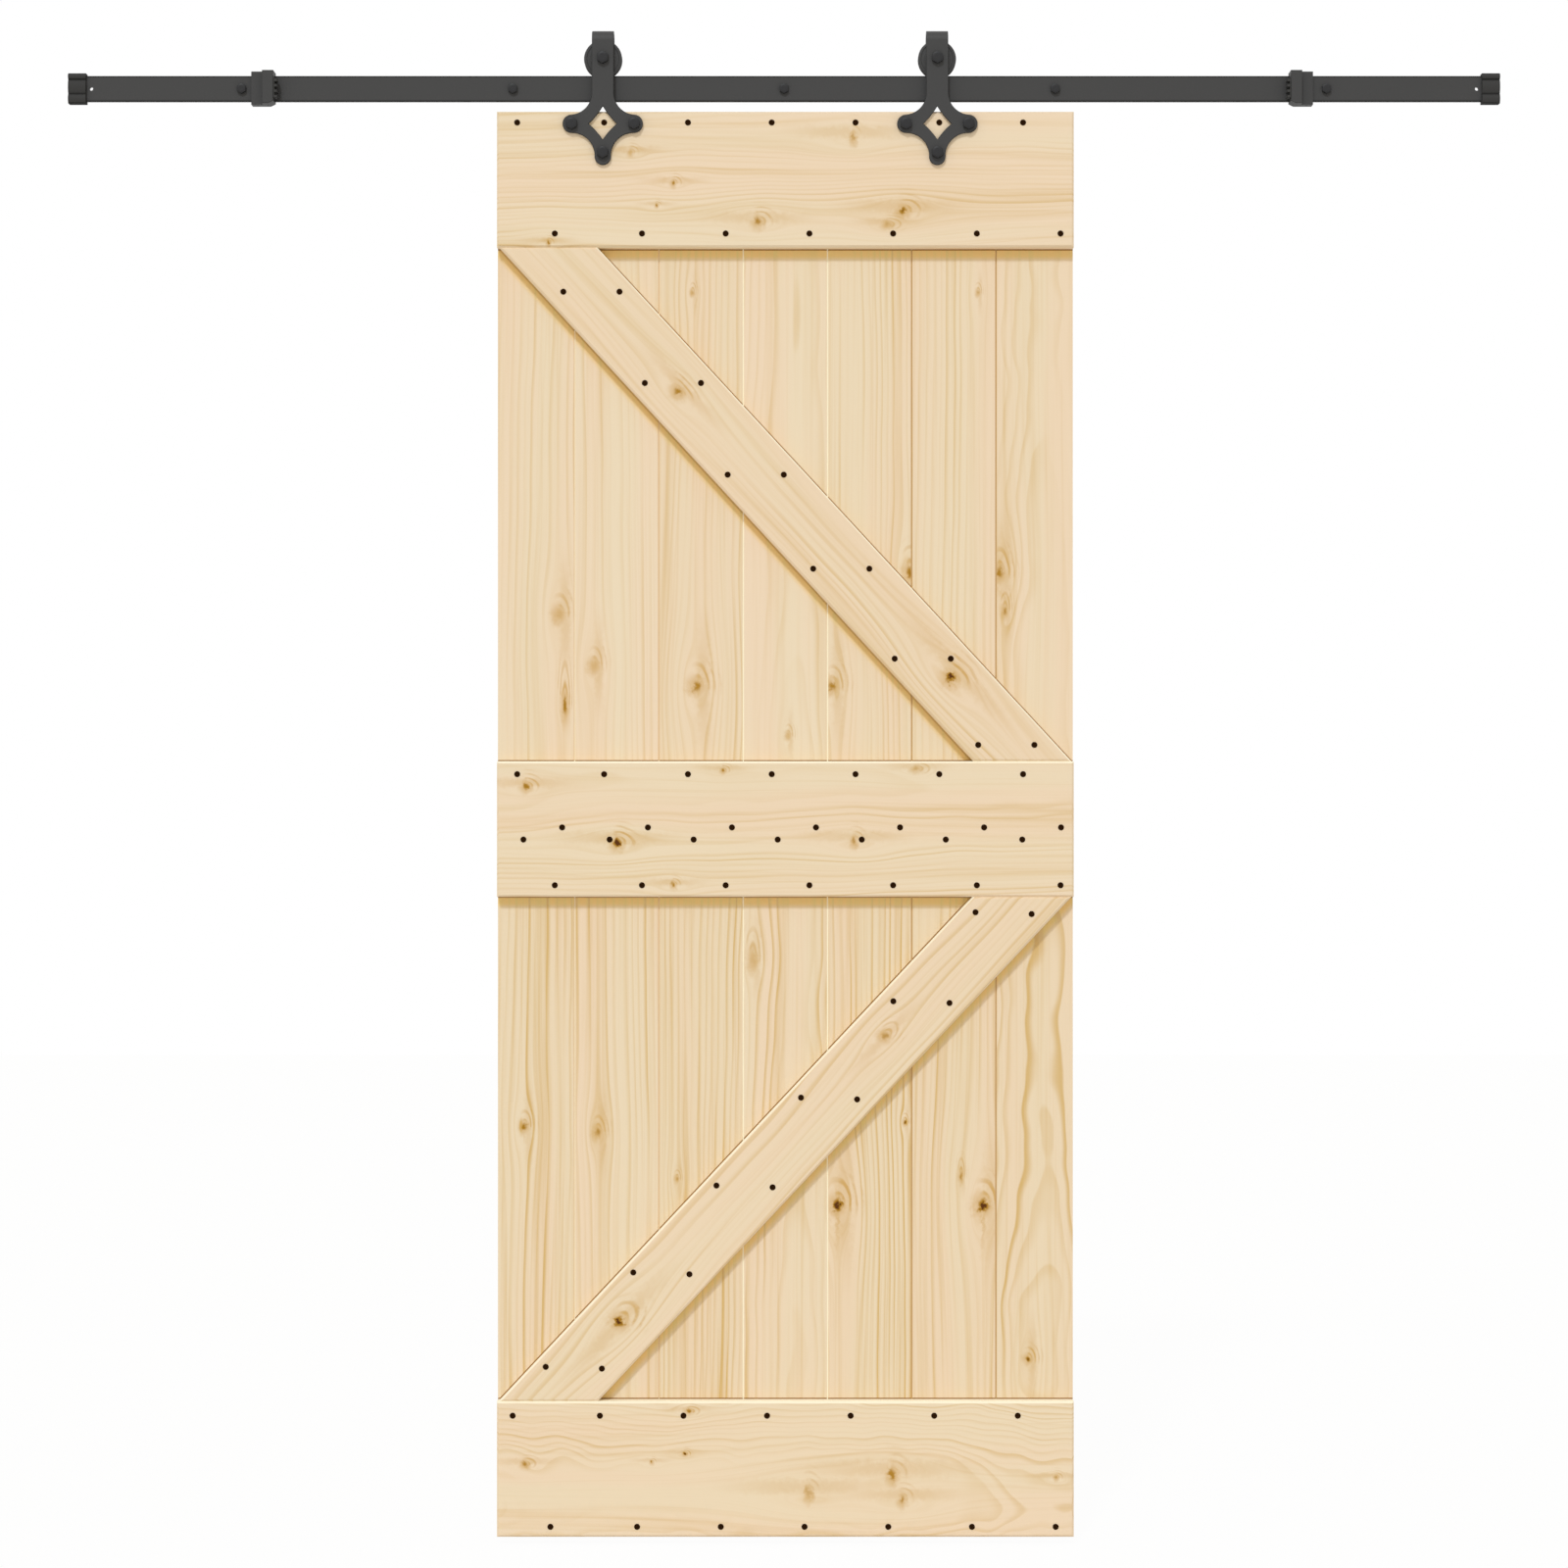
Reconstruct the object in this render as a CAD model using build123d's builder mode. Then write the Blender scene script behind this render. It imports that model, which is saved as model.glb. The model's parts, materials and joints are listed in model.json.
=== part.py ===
from build123d import *
from math import acos, atan2, cos, hypot
import os

# A sliding plank door hung on a flat steel track, seen from its front.
# Millimetres. The origin is on the wall, behind the middle bolt of the track.
# X runs to the right along the track, Y into the wall and Z up.
# A depth is a distance in front of the wall, so it is minus the Y coordinate.

os.makedirs("parts", exist_ok=True)

# Door leaf
door_width = 850.0
door_height = 2100.0
door_shift = 2.0
door_gap = 16.0
board_count = 7
board_cover_width = 124.6
board_thickness = 18.0
tongue_thickness = 6.0
tongue_length = 7.0
tongue_side_clearance = 0.15
tongue_end_clearance = 0.5
joint_chamfer = 1.5
cross_rail_height = 200.0
cross_rail_thickness = 20.0
middle_rail_drop = 957.0
brace_width = 106.0
brace_inset = 3.5
arris = 3.0

# Steel track
track_length = 2100.0
track_height = 38.0
track_thickness = 6.0
track_arris = 0.8
wall_bolt_spacing = 400.0
wall_bolt_count = 5
end_hole_inset = 28.0
end_hole_diameter = 5.5
spacer_length = 34.0
spacer_diameter = 24.0

# Lag screws that hold the track to the wall
lag_thread_diameter = 8.0
lag_shank_diameter = 7.0
lag_bite = 50.0
lag_point = 8.0
lag_head_width = 13.0
lag_head_height = 5.3
lag_hole_clearance = 0.5

# Rubber end caps
cap_length = 26.5
cap_end_wall = 5.5
cap_rim = 3.3
cap_back_wall = 3.0
cap_front_wall = 3.0
cap_lobe_rise = 2.4
cap_grooves = (13.0, -8.0)
cap_arris = 1.0

# Stops clamped on the track, one either side of the door
stop_inner_faces = (-751.2, 745.6)
stop_length = 34.0
stop_lip = 5.4
stop_front_wall = 5.4
stop_back_wall = 5.0
stop_nose_length = 16.5
stop_nose_rise = 12.0
stop_corner_run = 7.0
stop_corner_drop = 3.5
stop_arris = 0.8
slide_on_clearance = 0.1
bumper_reach = 6.0
bumper_base = 2.0
bumper_width = 12.0
bumper_middle = -2.2
bumper_rib_count = 4
bumper_rib = 4.5
bumper_rib_gap = 3.5
grub_diameter = 5.0
grub_socket_width = 2.5
grub_socket_depth = 2.5
grub_insets = (9.0, 24.0)

# Hangers: a strap bent over the wheel, ending in a plate with three lobes and a diamond hole
hanger_places = (-266.8, 225.7)
strap_width = 32.0
strap_thickness = 5.0
strap_gap = 22.0
bend_tuck = 2.0
plate_drop = 18.8
lobe_reach = 46.0
lobe_radius = 13.2
tail_reach = 48.5
tail_radius = 12.0
tail_bolt_reach = 42.4
shoulder_radius = 33.0
waist_radius = 33.6
diamond_half_width = 20.8
diamond_up = 26.0
diamond_down = 23.4
diamond_sag = 1.2

# Wheels and their sealed bearings
tread_radius = 24.0
tread_gap = 0.3
groove_side_gap = 1.0
flange_depth = 4.0
flange_slope = 1.2
wheel_side_gap = 2.0
wheel_dish = 1.4
bearing_width = 9.0
bearing_outer_radius = 15.0
inner_ring_wall = 3.0
bearing_running_gap = 0.08
close_fit = 0.02

# Hexagon bolts of the hangers, with sleeve nuts let into the back of the door
bolt_diameter = 10.0
bolt_head_width = 16.0
bolt_head_height = 6.4
bolt_hole_clearance = 0.2
hanger_bolt_length = 35.0
nut_height = 8.0
axle_tail = 2.0
thread_fit = 0.05
sleeve_wall = 2.0
sleeve_length = 30.0
sleeve_head_diameter = 22.0
sleeve_head_height = 3.0
sleeve_socket_width = 8.0
sleeve_socket_depth = 4.0
sleeve_hole_clearance = 0.1
bush_wall = 2.0

# Places that follow from the sizes
track_back = spacer_length
track_middle = track_back + track_thickness / 2
track_front = track_back + track_thickness
door_front = track_middle + strap_gap / 2
panel_front = door_front - cross_rail_thickness
door_back = panel_front - board_thickness
door_top = -track_height / 2 - door_gap
door_bottom = door_top - door_height
door_left = door_shift - door_width / 2
door_right = door_shift + door_width / 2
cap_height = track_height + 2 * cap_rim
stop_height = track_height + 2 * stop_lip
flange_radius = tread_radius + flange_depth
groove_width = track_thickness + 2 * groove_side_gap
wheel_width = strap_gap - 2 * wheel_side_gap
axle_height = track_height / 2 + tread_gap + tread_radius
bend_height = axle_height + flange_radius - bend_tuck
plate_height = door_top - plate_drop
bolt_hole = bolt_diameter / 2 + bolt_hole_clearance
sleeve_diameter = bolt_diameter + 2 * sleeve_wall
sleeve_hole = sleeve_diameter / 2 + sleeve_hole_clearance
bush_diameter = bolt_diameter + 2 * bush_wall
bearing_gap_radius = bolt_diameter / 2 + inner_ring_wall
wall_bolt_places = [
    (number - (wall_bolt_count - 1) / 2) * wall_bolt_spacing for number in range(wall_bolt_count)
]
hanger_bolt_places = [
    (place + across, plate_height - down)
    for place in hanger_places
    for across, down in ((-lobe_reach, 0), (lobe_reach, 0), (0, tail_bolt_reach))
]
axle_places = [(place, 0, axle_height) for place in hanger_places]


def front_plane(depth):
    """The plane that faces the viewer, this far in front of the wall."""
    return Plane.XZ.offset(depth)


def write(piece, name):
    """Labels a finished piece and writes its file."""
    piece.part.label = name
    export_step(piece.part, f"parts/{name}.step")


def copies(single, places, name):
    """Writes like pieces as one group of separate solids."""
    with BuildPart() as group:
        with Locations(*places):
            add(single.part)
    write(group, name)


def ring(outer, inner, near, far):
    """A plain ring about the Y axis between two depths."""
    with BuildPart() as piece:
        with BuildSketch(front_plane(near)):
            Circle(outer)
            Circle(inner, mode=Mode.SUBTRACT)
        extrude(amount=far - near)
    return piece


def tangent_centre(first, first_radius, second, second_radius, radius):
    """The centre of the circle of this radius that touches two others from outside, on their right."""
    gap = second - first
    to_first = first_radius + radius
    to_second = second_radius + radius
    along = (gap.length**2 + to_first**2 - to_second**2) / (2 * gap.length)
    aside = (to_first**2 - along**2) ** 0.5
    ahead = gap.normalized()
    return first + ahead * along + Vector(-ahead.Y, ahead.X) * aside


# Boards of the leaf, tongued on the right and grooved on the left
joints = [
    door_shift + (number - (board_count - 2) / 2) * board_cover_width
    for number in range(board_count - 1)
]
board_edges = [door_left, *joints, door_right]
board_middle = -(panel_front + door_back) / 2


def board(number):
    left = board_edges[number]
    right = board_edges[number + 1]
    has_groove = number > 0
    has_tongue = number < board_count - 1
    left_arris = joint_chamfer if has_groove else 0
    right_arris = joint_chamfer if has_tongue else 0
    tongue = tongue_thickness / 2
    groove = tongue + tongue_side_clearance
    groove_depth = tongue_length + tongue_end_clearance

    outline = [(left + left_arris, -panel_front), (right - right_arris, -panel_front)]
    if has_tongue:
        outline += [
            (right, -panel_front + joint_chamfer),
            (right, board_middle - tongue),
            (right + tongue_length, board_middle - tongue),
            (right + tongue_length, board_middle + tongue),
            (right, board_middle + tongue),
            (right, -door_back - joint_chamfer),
        ]
    outline += [(right - right_arris, -door_back), (left + left_arris, -door_back)]
    if has_groove:
        outline += [
            (left, -door_back - joint_chamfer),
            (left, board_middle + groove),
            (left + groove_depth, board_middle + groove),
            (left + groove_depth, board_middle - groove),
            (left, board_middle - groove),
            (left, -panel_front + joint_chamfer),
        ]

    bored = [
        place
        for place in hanger_bolt_places
        if left - sleeve_hole < place[0] < right + tongue_length + sleeve_hole
    ]
    with BuildPart() as piece:
        with BuildSketch(Plane.XY.offset(door_bottom)):
            with BuildLine():
                Polyline(*outline, close=True)
            make_face()
        extrude(amount=door_height)
        if bored:
            with BuildSketch(front_plane(door_back)):
                with Locations(*bored):
                    Circle(sleeve_hole)
            extrude(amount=board_thickness, mode=Mode.SUBTRACT)
    write(piece, f"board_{number + 1}")


for number in range(board_count):
    board(number)


# Cross rails, screwed on the face of the boards
def cross_rail(top, name, bored=()):
    with BuildPart() as piece:
        with BuildSketch(front_plane(panel_front)):
            with Locations((door_shift, top - cross_rail_height / 2)):
                Rectangle(door_width, cross_rail_height)
        extrude(amount=cross_rail_thickness)
        chamfer(piece.faces().sort_by(Axis.Y)[0].edges(), arris)
        if bored:
            with BuildSketch(front_plane(panel_front)):
                with Locations(*bored):
                    Circle(sleeve_hole)
            extrude(amount=cross_rail_thickness, mode=Mode.SUBTRACT)
    write(piece, name)


middle_rail_top = door_top - middle_rail_drop
bottom_rail_top = door_bottom + cross_rail_height
cross_rail(door_top, "top_cross_rail", hanger_bolt_places)
cross_rail(middle_rail_top, "middle_cross_rail")
cross_rail(bottom_rail_top, "bottom_cross_rail")


# Diagonal braces, cut level to fit between two cross rails from corner to corner
def brace(top, bottom, lean, name):
    """lean is 1 where the brace falls to the right and -1 where it falls to the left."""
    across = door_width - 2 * brace_inset
    height = top - bottom
    angle = acos(brace_width / hypot(across, height)) - atan2(height, across)
    end_width = brace_width / cos(angle)
    outer = lean * across / 2
    inner = lean * (across / 2 - end_width)
    with BuildPart() as piece:
        with BuildSketch(front_plane(panel_front)):
            with BuildLine():
                Polyline(
                    (door_shift - outer, top),
                    (door_shift - inner, top),
                    (door_shift + outer, bottom),
                    (door_shift + inner, bottom),
                    close=True,
                )
            make_face()
        extrude(amount=cross_rail_thickness)
        chamfer(piece.faces().sort_by(Axis.Y)[0].edges(), arris)
    write(piece, name)


brace(door_top - cross_rail_height, middle_rail_top, 1, "upper_brace")
brace(middle_rail_top - cross_rail_height, bottom_rail_top, -1, "lower_brace")


# Flat track with its wall bolt holes and one small hole near each end
end_hole_place = track_length / 2 - end_hole_inset
lag_hole = lag_shank_diameter / 2 + lag_hole_clearance
with BuildPart() as track_rail:
    with BuildSketch(front_plane(track_back)):
        Rectangle(track_length, track_height)
        with Locations(*[(place, 0) for place in wall_bolt_places]):
            Circle(lag_hole, mode=Mode.SUBTRACT)
        with Locations((-end_hole_place, 0), (end_hole_place, 0)):
            Circle(end_hole_diameter / 2, mode=Mode.SUBTRACT)
    extrude(amount=track_thickness)
    long_edges = track_rail.edges().filter_by(Axis.X).group_by(Axis.Z)
    chamfer(long_edges[0] + long_edges[-1], track_arris)
write(track_rail, "track_rail")

# Spacers that hold the track off the wall
wall_spacer = ring(spacer_diameter / 2, lag_hole, 0, spacer_length)
copies(wall_spacer, [(place, 0, 0) for place in wall_bolt_places], "wall_spacers")

# Lag screws: hexagon head, thin shank through track and spacer, then the threaded end
with BuildPart() as lag_screw:
    with BuildSketch(front_plane(track_front)):
        RegularPolygon(lag_head_width / 2, 6, major_radius=False, rotation=30)
    extrude(amount=lag_head_height)
    with BuildSketch(front_plane(track_front)):
        Circle(lag_shank_diameter / 2)
    extrude(amount=-track_front)
    with BuildSketch(Plane.XY):
        with BuildLine():
            Polyline(
                (0, 0),
                (lag_thread_diameter / 2, 0),
                (lag_thread_diameter / 2, lag_bite - lag_point),
                (0, lag_bite),
                close=True,
            )
        make_face()
    revolve(axis=Axis.Y)
copies(lag_screw, [(place, 0, 0) for place in wall_bolt_places], "lag_screws")


# End caps: a soft sleeve pushed over each end of the track, its face in three rounded lobes
def end_cap(side, name):
    top = cap_height / 2
    face = track_front + cap_front_wall
    inner_end = side * (track_length / 2 + cap_end_wall - cap_length)
    levels = [top, *cap_grooves, -top]
    with BuildPart() as piece:
        with BuildSketch(Plane.YZ.offset(inner_end)):
            with BuildLine():
                Polyline(
                    (-face, -top),
                    (-(track_back - cap_back_wall), -top),
                    (-(track_back - cap_back_wall), top),
                    (-face, top),
                )
                for upper, lower in zip(levels, levels[1:]):
                    ThreePointArc(
                        (-face, upper),
                        (-face - cap_lobe_rise, (upper + lower) / 2),
                        (-face, lower),
                    )
            make_face()
        extrude(amount=side * cap_length)
        end_edges = piece.faces().sort_by(Axis.X)[-1 if side > 0 else 0].edges()
        back_edge = end_edges.sort_by(Axis.Y)[-1]
        chamfer(back_edge, cap_arris)
        with BuildSketch(Plane.YZ.offset(inner_end)):
            with Locations((-track_middle, 0)):
                Rectangle(
                    track_thickness + 2 * slide_on_clearance,
                    track_height + 2 * slide_on_clearance,
                )
        extrude(amount=side * (cap_length - cap_end_wall), mode=Mode.SUBTRACT)
    write(piece, name)


end_cap(-1, "end_cap_left")
end_cap(1, "end_cap_right")


# Stops: a sleeve on the track with a nose in the hanger's path, which carries a rubber bumper
def stop(inner, side, name):
    """side is -1 left of the door and 1 right of it; inner is the face that the bumper is on."""
    half = stop_height / 2
    near = track_back - stop_back_wall
    face = track_front + stop_front_wall
    bumper_depth = door_front + strap_thickness / 2
    inner_plane = Plane.YZ.offset(inner)
    with BuildPart() as piece:
        with BuildSketch(inner_plane):
            with Locations((-(near + face) / 2, 0)):
                Rectangle(face - near, stop_height)
        extrude(amount=side * stop_length)
        with BuildSketch(inner_plane):
            with Locations((-(face + stop_nose_rise / 2), 0)):
                Rectangle(stop_nose_rise, stop_height)
        extrude(amount=side * stop_nose_length)
        with BuildSketch(Plane.XZ):
            with BuildLine():
                Polyline(
                    (inner, -half),
                    (inner + side * stop_corner_run, -half),
                    (inner, -half + stop_corner_drop),
                    close=True,
                )
            make_face()
        extrude(amount=face + stop_nose_rise, mode=Mode.SUBTRACT)
        chamfer(piece.faces().sort_by(Axis.Y)[0].edges(), stop_arris)
        with BuildSketch(inner_plane):
            with Locations((-track_middle, 0)):
                Rectangle(
                    track_thickness + 2 * slide_on_clearance,
                    track_height + 2 * slide_on_clearance,
                )
        extrude(amount=side * stop_length, mode=Mode.SUBTRACT)
        with BuildSketch(Plane.XY.offset(-half)):
            with Locations(*grub_centres(inner, side)):
                Circle(grub_diameter / 2 + thread_fit)
        extrude(amount=half - track_height / 2, mode=Mode.SUBTRACT)
    write(piece, f"stop_{name}")

    ribs_height = bumper_rib_count * (bumper_rib + bumper_rib_gap) - bumper_rib_gap
    rib_places = [
        bumper_middle + (number - (bumper_rib_count - 1) / 2) * (bumper_rib + bumper_rib_gap)
        for number in range(bumper_rib_count)
    ]
    with BuildPart() as bumper:
        with BuildSketch(inner_plane):
            with Locations((-bumper_depth, bumper_middle)):
                Rectangle(bumper_width, ribs_height)
        extrude(amount=-side * bumper_base)
        with BuildSketch(inner_plane):
            with Locations(*[(-bumper_depth, place) for place in rib_places]):
                Rectangle(bumper_width, bumper_rib)
        extrude(amount=-side * bumper_reach)
    write(bumper, f"stop_bumper_{name}")


def grub_centres(inner, side):
    outer = inner + side * stop_length
    return [(outer - side * inset, -track_middle) for inset in grub_insets]


stop(stop_inner_faces[0], -1, "left")
stop(stop_inner_faces[1], 1, "right")

# Grub screws that clamp the stops against the lower edge of the track
with BuildPart() as grub_screw:
    with BuildSketch(Plane.XY.offset(-stop_height / 2)):
        Circle(grub_diameter / 2)
    extrude(amount=(stop_height - track_height) / 2)
    with BuildSketch(Plane.XY.offset(-stop_height / 2)):
        RegularPolygon(grub_socket_width / 2, 6, major_radius=False)
    extrude(amount=grub_socket_depth, mode=Mode.SUBTRACT)
grub_places = grub_centres(stop_inner_faces[0], -1) + grub_centres(stop_inner_faces[1], 1)
copies(grub_screw, [(across, along, 0) for across, along in grub_places], "stop_grub_screws")


# Hangers: one flat bar, widened below into the lobed plate and bent back over the wheel
def hanger(place, name):
    half = strap_width / 2
    lobe = Vector(lobe_reach, 0)
    tail = Vector(0, -tail_reach)
    shoulder = Vector(
        half + shoulder_radius,
        ((lobe_radius + shoulder_radius) ** 2 - (half + shoulder_radius - lobe_reach) ** 2) ** 0.5,
    )
    waist = tangent_centre(lobe, lobe_radius, tail, tail_radius, waist_radius)
    shoulder_start = Vector(half, shoulder.Y)
    shoulder_middle = shoulder - Vector(1, 1).normalized() * shoulder_radius
    lobe_start = lobe + (shoulder - lobe).normalized() * lobe_radius
    lobe_tip = lobe + Vector(lobe_radius, 0)
    lobe_end = lobe + (waist - lobe).normalized() * lobe_radius
    waist_middle = waist - waist.normalized() * waist_radius
    tail_start = tail + (waist - tail).normalized() * tail_radius
    tail_tip = tail - Vector(0, tail_radius)
    leg_top = bend_height - plate_height

    face_plane = Plane(origin=(place, -door_front, plate_height), x_dir=(1, 0, 0), z_dir=(0, -1, 0))
    side_plane = Plane.YZ.offset(place)
    outer_bend = strap_gap / 2 + strap_thickness
    back_leg = track_middle - strap_gap / 2

    with BuildPart() as piece:
        with BuildSketch(face_plane):
            with BuildLine():
                Line((0, leg_top), (half, leg_top))
                Line((half, leg_top), shoulder_start)
                ThreePointArc(shoulder_start, shoulder_middle, lobe_start)
                ThreePointArc(lobe_start, lobe_tip, lobe_end)
                ThreePointArc(lobe_end, waist_middle, tail_start)
                RadiusArc(tail_start, tail_tip, tail_radius)
                mirror(about=Plane.YZ)
            make_face()
            with BuildLine():
                SagittaArc((0, diamond_up), (diamond_half_width, 0), -diamond_sag)
                SagittaArc((diamond_half_width, 0), (0, -diamond_down), -diamond_sag)
                mirror(about=Plane.YZ)
            make_face(mode=Mode.SUBTRACT)
            with Locations(lobe, (-lobe_reach, 0), (0, -tail_bolt_reach)):
                Circle(bolt_hole, mode=Mode.SUBTRACT)
        extrude(amount=strap_thickness)
        with BuildSketch(side_plane):
            with Locations((-track_middle, bend_height)):
                Circle(outer_bend)
                Circle(strap_gap / 2, mode=Mode.SUBTRACT)
            with Locations((-track_middle, bend_height - outer_bend / 2)):
                Rectangle(2 * outer_bend, outer_bend, mode=Mode.SUBTRACT)
        extrude(amount=half, both=True)
        with BuildSketch(front_plane(back_leg)):
            with Locations((place, axle_height)):
                Circle(half)
            with Locations((place, (axle_height + bend_height) / 2)):
                Rectangle(strap_width, bend_height - axle_height)
        extrude(amount=-strap_thickness)
        with BuildSketch(front_plane(back_leg - strap_thickness)):
            with Locations((place, axle_height)):
                Circle(bolt_hole)
        extrude(amount=strap_gap + 2 * strap_thickness, mode=Mode.SUBTRACT)
    write(piece, name)


hanger(hanger_places[0], "hanger_left")
hanger(hanger_places[1], "hanger_right")


# Hexagon bolts: the head stands in front of the strap and the shank runs back from it
def hexagon_bolt(length):
    head_seat = front_plane(door_front + strap_thickness)
    with BuildPart() as piece:
        with BuildSketch(head_seat):
            RegularPolygon(bolt_head_width / 2, 6, major_radius=False, rotation=30)
        extrude(amount=bolt_head_height)
        with BuildSketch(head_seat):
            Circle(bolt_diameter / 2)
        extrude(amount=-length)
    return piece


hanger_bolt = hexagon_bolt(hanger_bolt_length)
hanger_bolt_spots = [(across, 0, height) for across, height in hanger_bolt_places]
copies(hanger_bolt, hanger_bolt_spots, "hanger_bolts")

axle_bolt = hexagon_bolt(strap_gap + 2 * strap_thickness + nut_height + axle_tail)
copies(axle_bolt, axle_places, "axle_bolts")

nut_seat = track_middle - strap_gap / 2 - strap_thickness
with BuildPart() as axle_nut:
    with BuildSketch(front_plane(nut_seat)):
        RegularPolygon(bolt_head_width / 2, 6, major_radius=False, rotation=30)
        Circle(bolt_diameter / 2 + thread_fit, mode=Mode.SUBTRACT)
    extrude(amount=-nut_height)
copies(axle_nut, axle_places, "axle_nuts")

# Sleeve nuts: a low head on the back of the door, a barrel in it and a key socket behind
bore_bottom = door_back + sleeve_socket_depth - sleeve_head_height + sleeve_wall
with BuildPart() as sleeve_nut:
    with BuildSketch(front_plane(door_back - sleeve_head_height)):
        Circle(sleeve_head_diameter / 2)
    extrude(amount=sleeve_head_height)
    with BuildSketch(front_plane(door_back)):
        Circle(sleeve_diameter / 2)
    extrude(amount=sleeve_length)
    with BuildSketch(front_plane(door_back + sleeve_length)):
        Circle(bolt_diameter / 2 + thread_fit)
    extrude(amount=-(door_back + sleeve_length - bore_bottom), mode=Mode.SUBTRACT)
    with BuildSketch(front_plane(door_back - sleeve_head_height)):
        RegularPolygon(sleeve_socket_width / 2, 6, major_radius=False)
    extrude(amount=sleeve_socket_depth, mode=Mode.SUBTRACT)
copies(sleeve_nut, hanger_bolt_spots, "sleeve_nuts")

# Bearings: the inner ring stands still on the axle between two bushes, the outer ring turns
axle_bore = bolt_diameter / 2 + close_fit
bearing_back = track_middle - bearing_width / 2
bearing_front = track_middle + bearing_width / 2
inner_ring = ring(bearing_gap_radius, axle_bore, bearing_back, bearing_front)
copies(inner_ring, axle_places, "bearing_inner_rings")

front_bush = ring(bush_diameter / 2, axle_bore, bearing_front, track_middle + strap_gap / 2)
back_bush = ring(bush_diameter / 2, axle_bore, track_middle - strap_gap / 2, bearing_back)
with BuildPart() as bush_pair:
    add(front_bush.part)
    add(back_bush.part)
copies(bush_pair, axle_places, "axle_bushes")

outer_ring = ring(
    bearing_outer_radius, bearing_gap_radius + bearing_running_gap, bearing_back, bearing_front
)

# Wheels: two flanges that straddle the track, with faces dished towards the bearing's bore
wheel_half = wheel_width / 2
groove_half = groove_width / 2
wheel_bore = bearing_outer_radius + close_fit
with BuildPart() as wheel:
    with BuildSketch(Plane.XY):
        with BuildLine():
            Polyline(
                (wheel_bore, -track_middle - wheel_half),
                (flange_radius, -track_middle - wheel_half + wheel_dish),
                (flange_radius, -track_middle - groove_half - flange_slope),
                (tread_radius, -track_middle - groove_half),
                (tread_radius, -track_middle + groove_half),
                (flange_radius, -track_middle + groove_half + flange_slope),
                (flange_radius, -track_middle + wheel_half - wheel_dish),
                (wheel_bore, -track_middle + wheel_half),
                close=True,
            )
        make_face()
    revolve(axis=Axis.Y)
for place, side in zip(axle_places, ("left", "right")):
    copies(wheel, [place], f"wheel_{side}")
    copies(outer_ring, [place], f"bearing_outer_ring_{side}")
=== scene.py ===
"""Finish of a sliding plank door and its wall track.

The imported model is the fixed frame. Its boards get pine materials, and its hardware gets finished pieces that
stand for the plain solids. Everything is in metres: X runs along the track, Y into the wall and Z up.
"""

import json
import math
from types import SimpleNamespace

import bmesh
import bpy
import numpy as np
from bpy.props import FloatProperty, FloatVectorProperty, IntProperty, PointerProperty
from mathutils import Matrix, Vector

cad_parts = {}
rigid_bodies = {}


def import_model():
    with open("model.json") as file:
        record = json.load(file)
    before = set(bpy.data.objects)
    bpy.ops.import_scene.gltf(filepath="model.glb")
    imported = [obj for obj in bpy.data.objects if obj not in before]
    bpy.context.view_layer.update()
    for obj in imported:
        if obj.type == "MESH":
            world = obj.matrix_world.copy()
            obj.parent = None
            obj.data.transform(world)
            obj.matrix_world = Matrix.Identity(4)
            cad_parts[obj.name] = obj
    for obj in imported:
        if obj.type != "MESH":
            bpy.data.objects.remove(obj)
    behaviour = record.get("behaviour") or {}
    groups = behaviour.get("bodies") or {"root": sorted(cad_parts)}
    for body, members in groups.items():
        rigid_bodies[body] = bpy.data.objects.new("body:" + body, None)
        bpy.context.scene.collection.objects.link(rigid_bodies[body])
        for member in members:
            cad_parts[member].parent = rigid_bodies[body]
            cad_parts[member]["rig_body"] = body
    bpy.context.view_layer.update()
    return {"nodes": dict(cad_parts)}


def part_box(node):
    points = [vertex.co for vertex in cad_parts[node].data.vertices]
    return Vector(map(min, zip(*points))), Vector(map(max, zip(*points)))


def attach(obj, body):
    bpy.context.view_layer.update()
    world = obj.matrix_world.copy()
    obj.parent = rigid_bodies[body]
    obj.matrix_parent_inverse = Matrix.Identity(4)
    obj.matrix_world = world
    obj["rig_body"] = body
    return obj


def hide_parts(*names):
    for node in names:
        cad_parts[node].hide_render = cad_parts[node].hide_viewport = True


bl_info = {
    "name": "Sliding plank door",
    "version": (1, 0, 0),
    "blender": (4, 5, 0),
    "location": "3D View > Sidebar > Plank door",
    "description": "Builds the finish of a sliding plank door and its track",
    "category": "Object",
}

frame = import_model()

MM = 0.001
TURN = 2 * math.pi


def node_size(node):
    low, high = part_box(node)
    return high - low


def node_middle(node):
    low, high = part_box(node)
    return (low + high) / 2


door_low, door_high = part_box("top_cross_rail")
DOOR_FRONT = door_low.y
DOOR_TOP = door_high.z
DOOR_MIDDLE = (door_low.x + door_high.x) / 2
DOOR_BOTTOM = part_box("board_1")[0].z
STRAP_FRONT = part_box("hanger_left")[0].y
TRACK_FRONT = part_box("track_rail")[0].y
SIDES = ("left", "right")
AXLES = [node_middle(f"wheel_{side}") for side in SIDES]
BRACE_WIDTH = 106 * MM
TONGUE = 7 * MM
# Heights of the end caps' grooves, where shade is painted
CAP_GROOVES = (13 * MM, -8 * MM)

# Radii of the bolts and of the lag screws with their threads, and how far in front of the wall these start
SHANK = 5 * MM
LAG_SHANK = 3.5 * MM
LAG_CREST = 4 * MM
LAG_START = 4 * MM

# The hanger bolts: from the hanger's side to those in its lobes, and the heights of these and of the lowest
LOBE_INSET = 13.2 * MM
LOBE_HEIGHT = 60.5 * MM
TAIL_HEIGHT = 18.1 * MM

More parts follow.
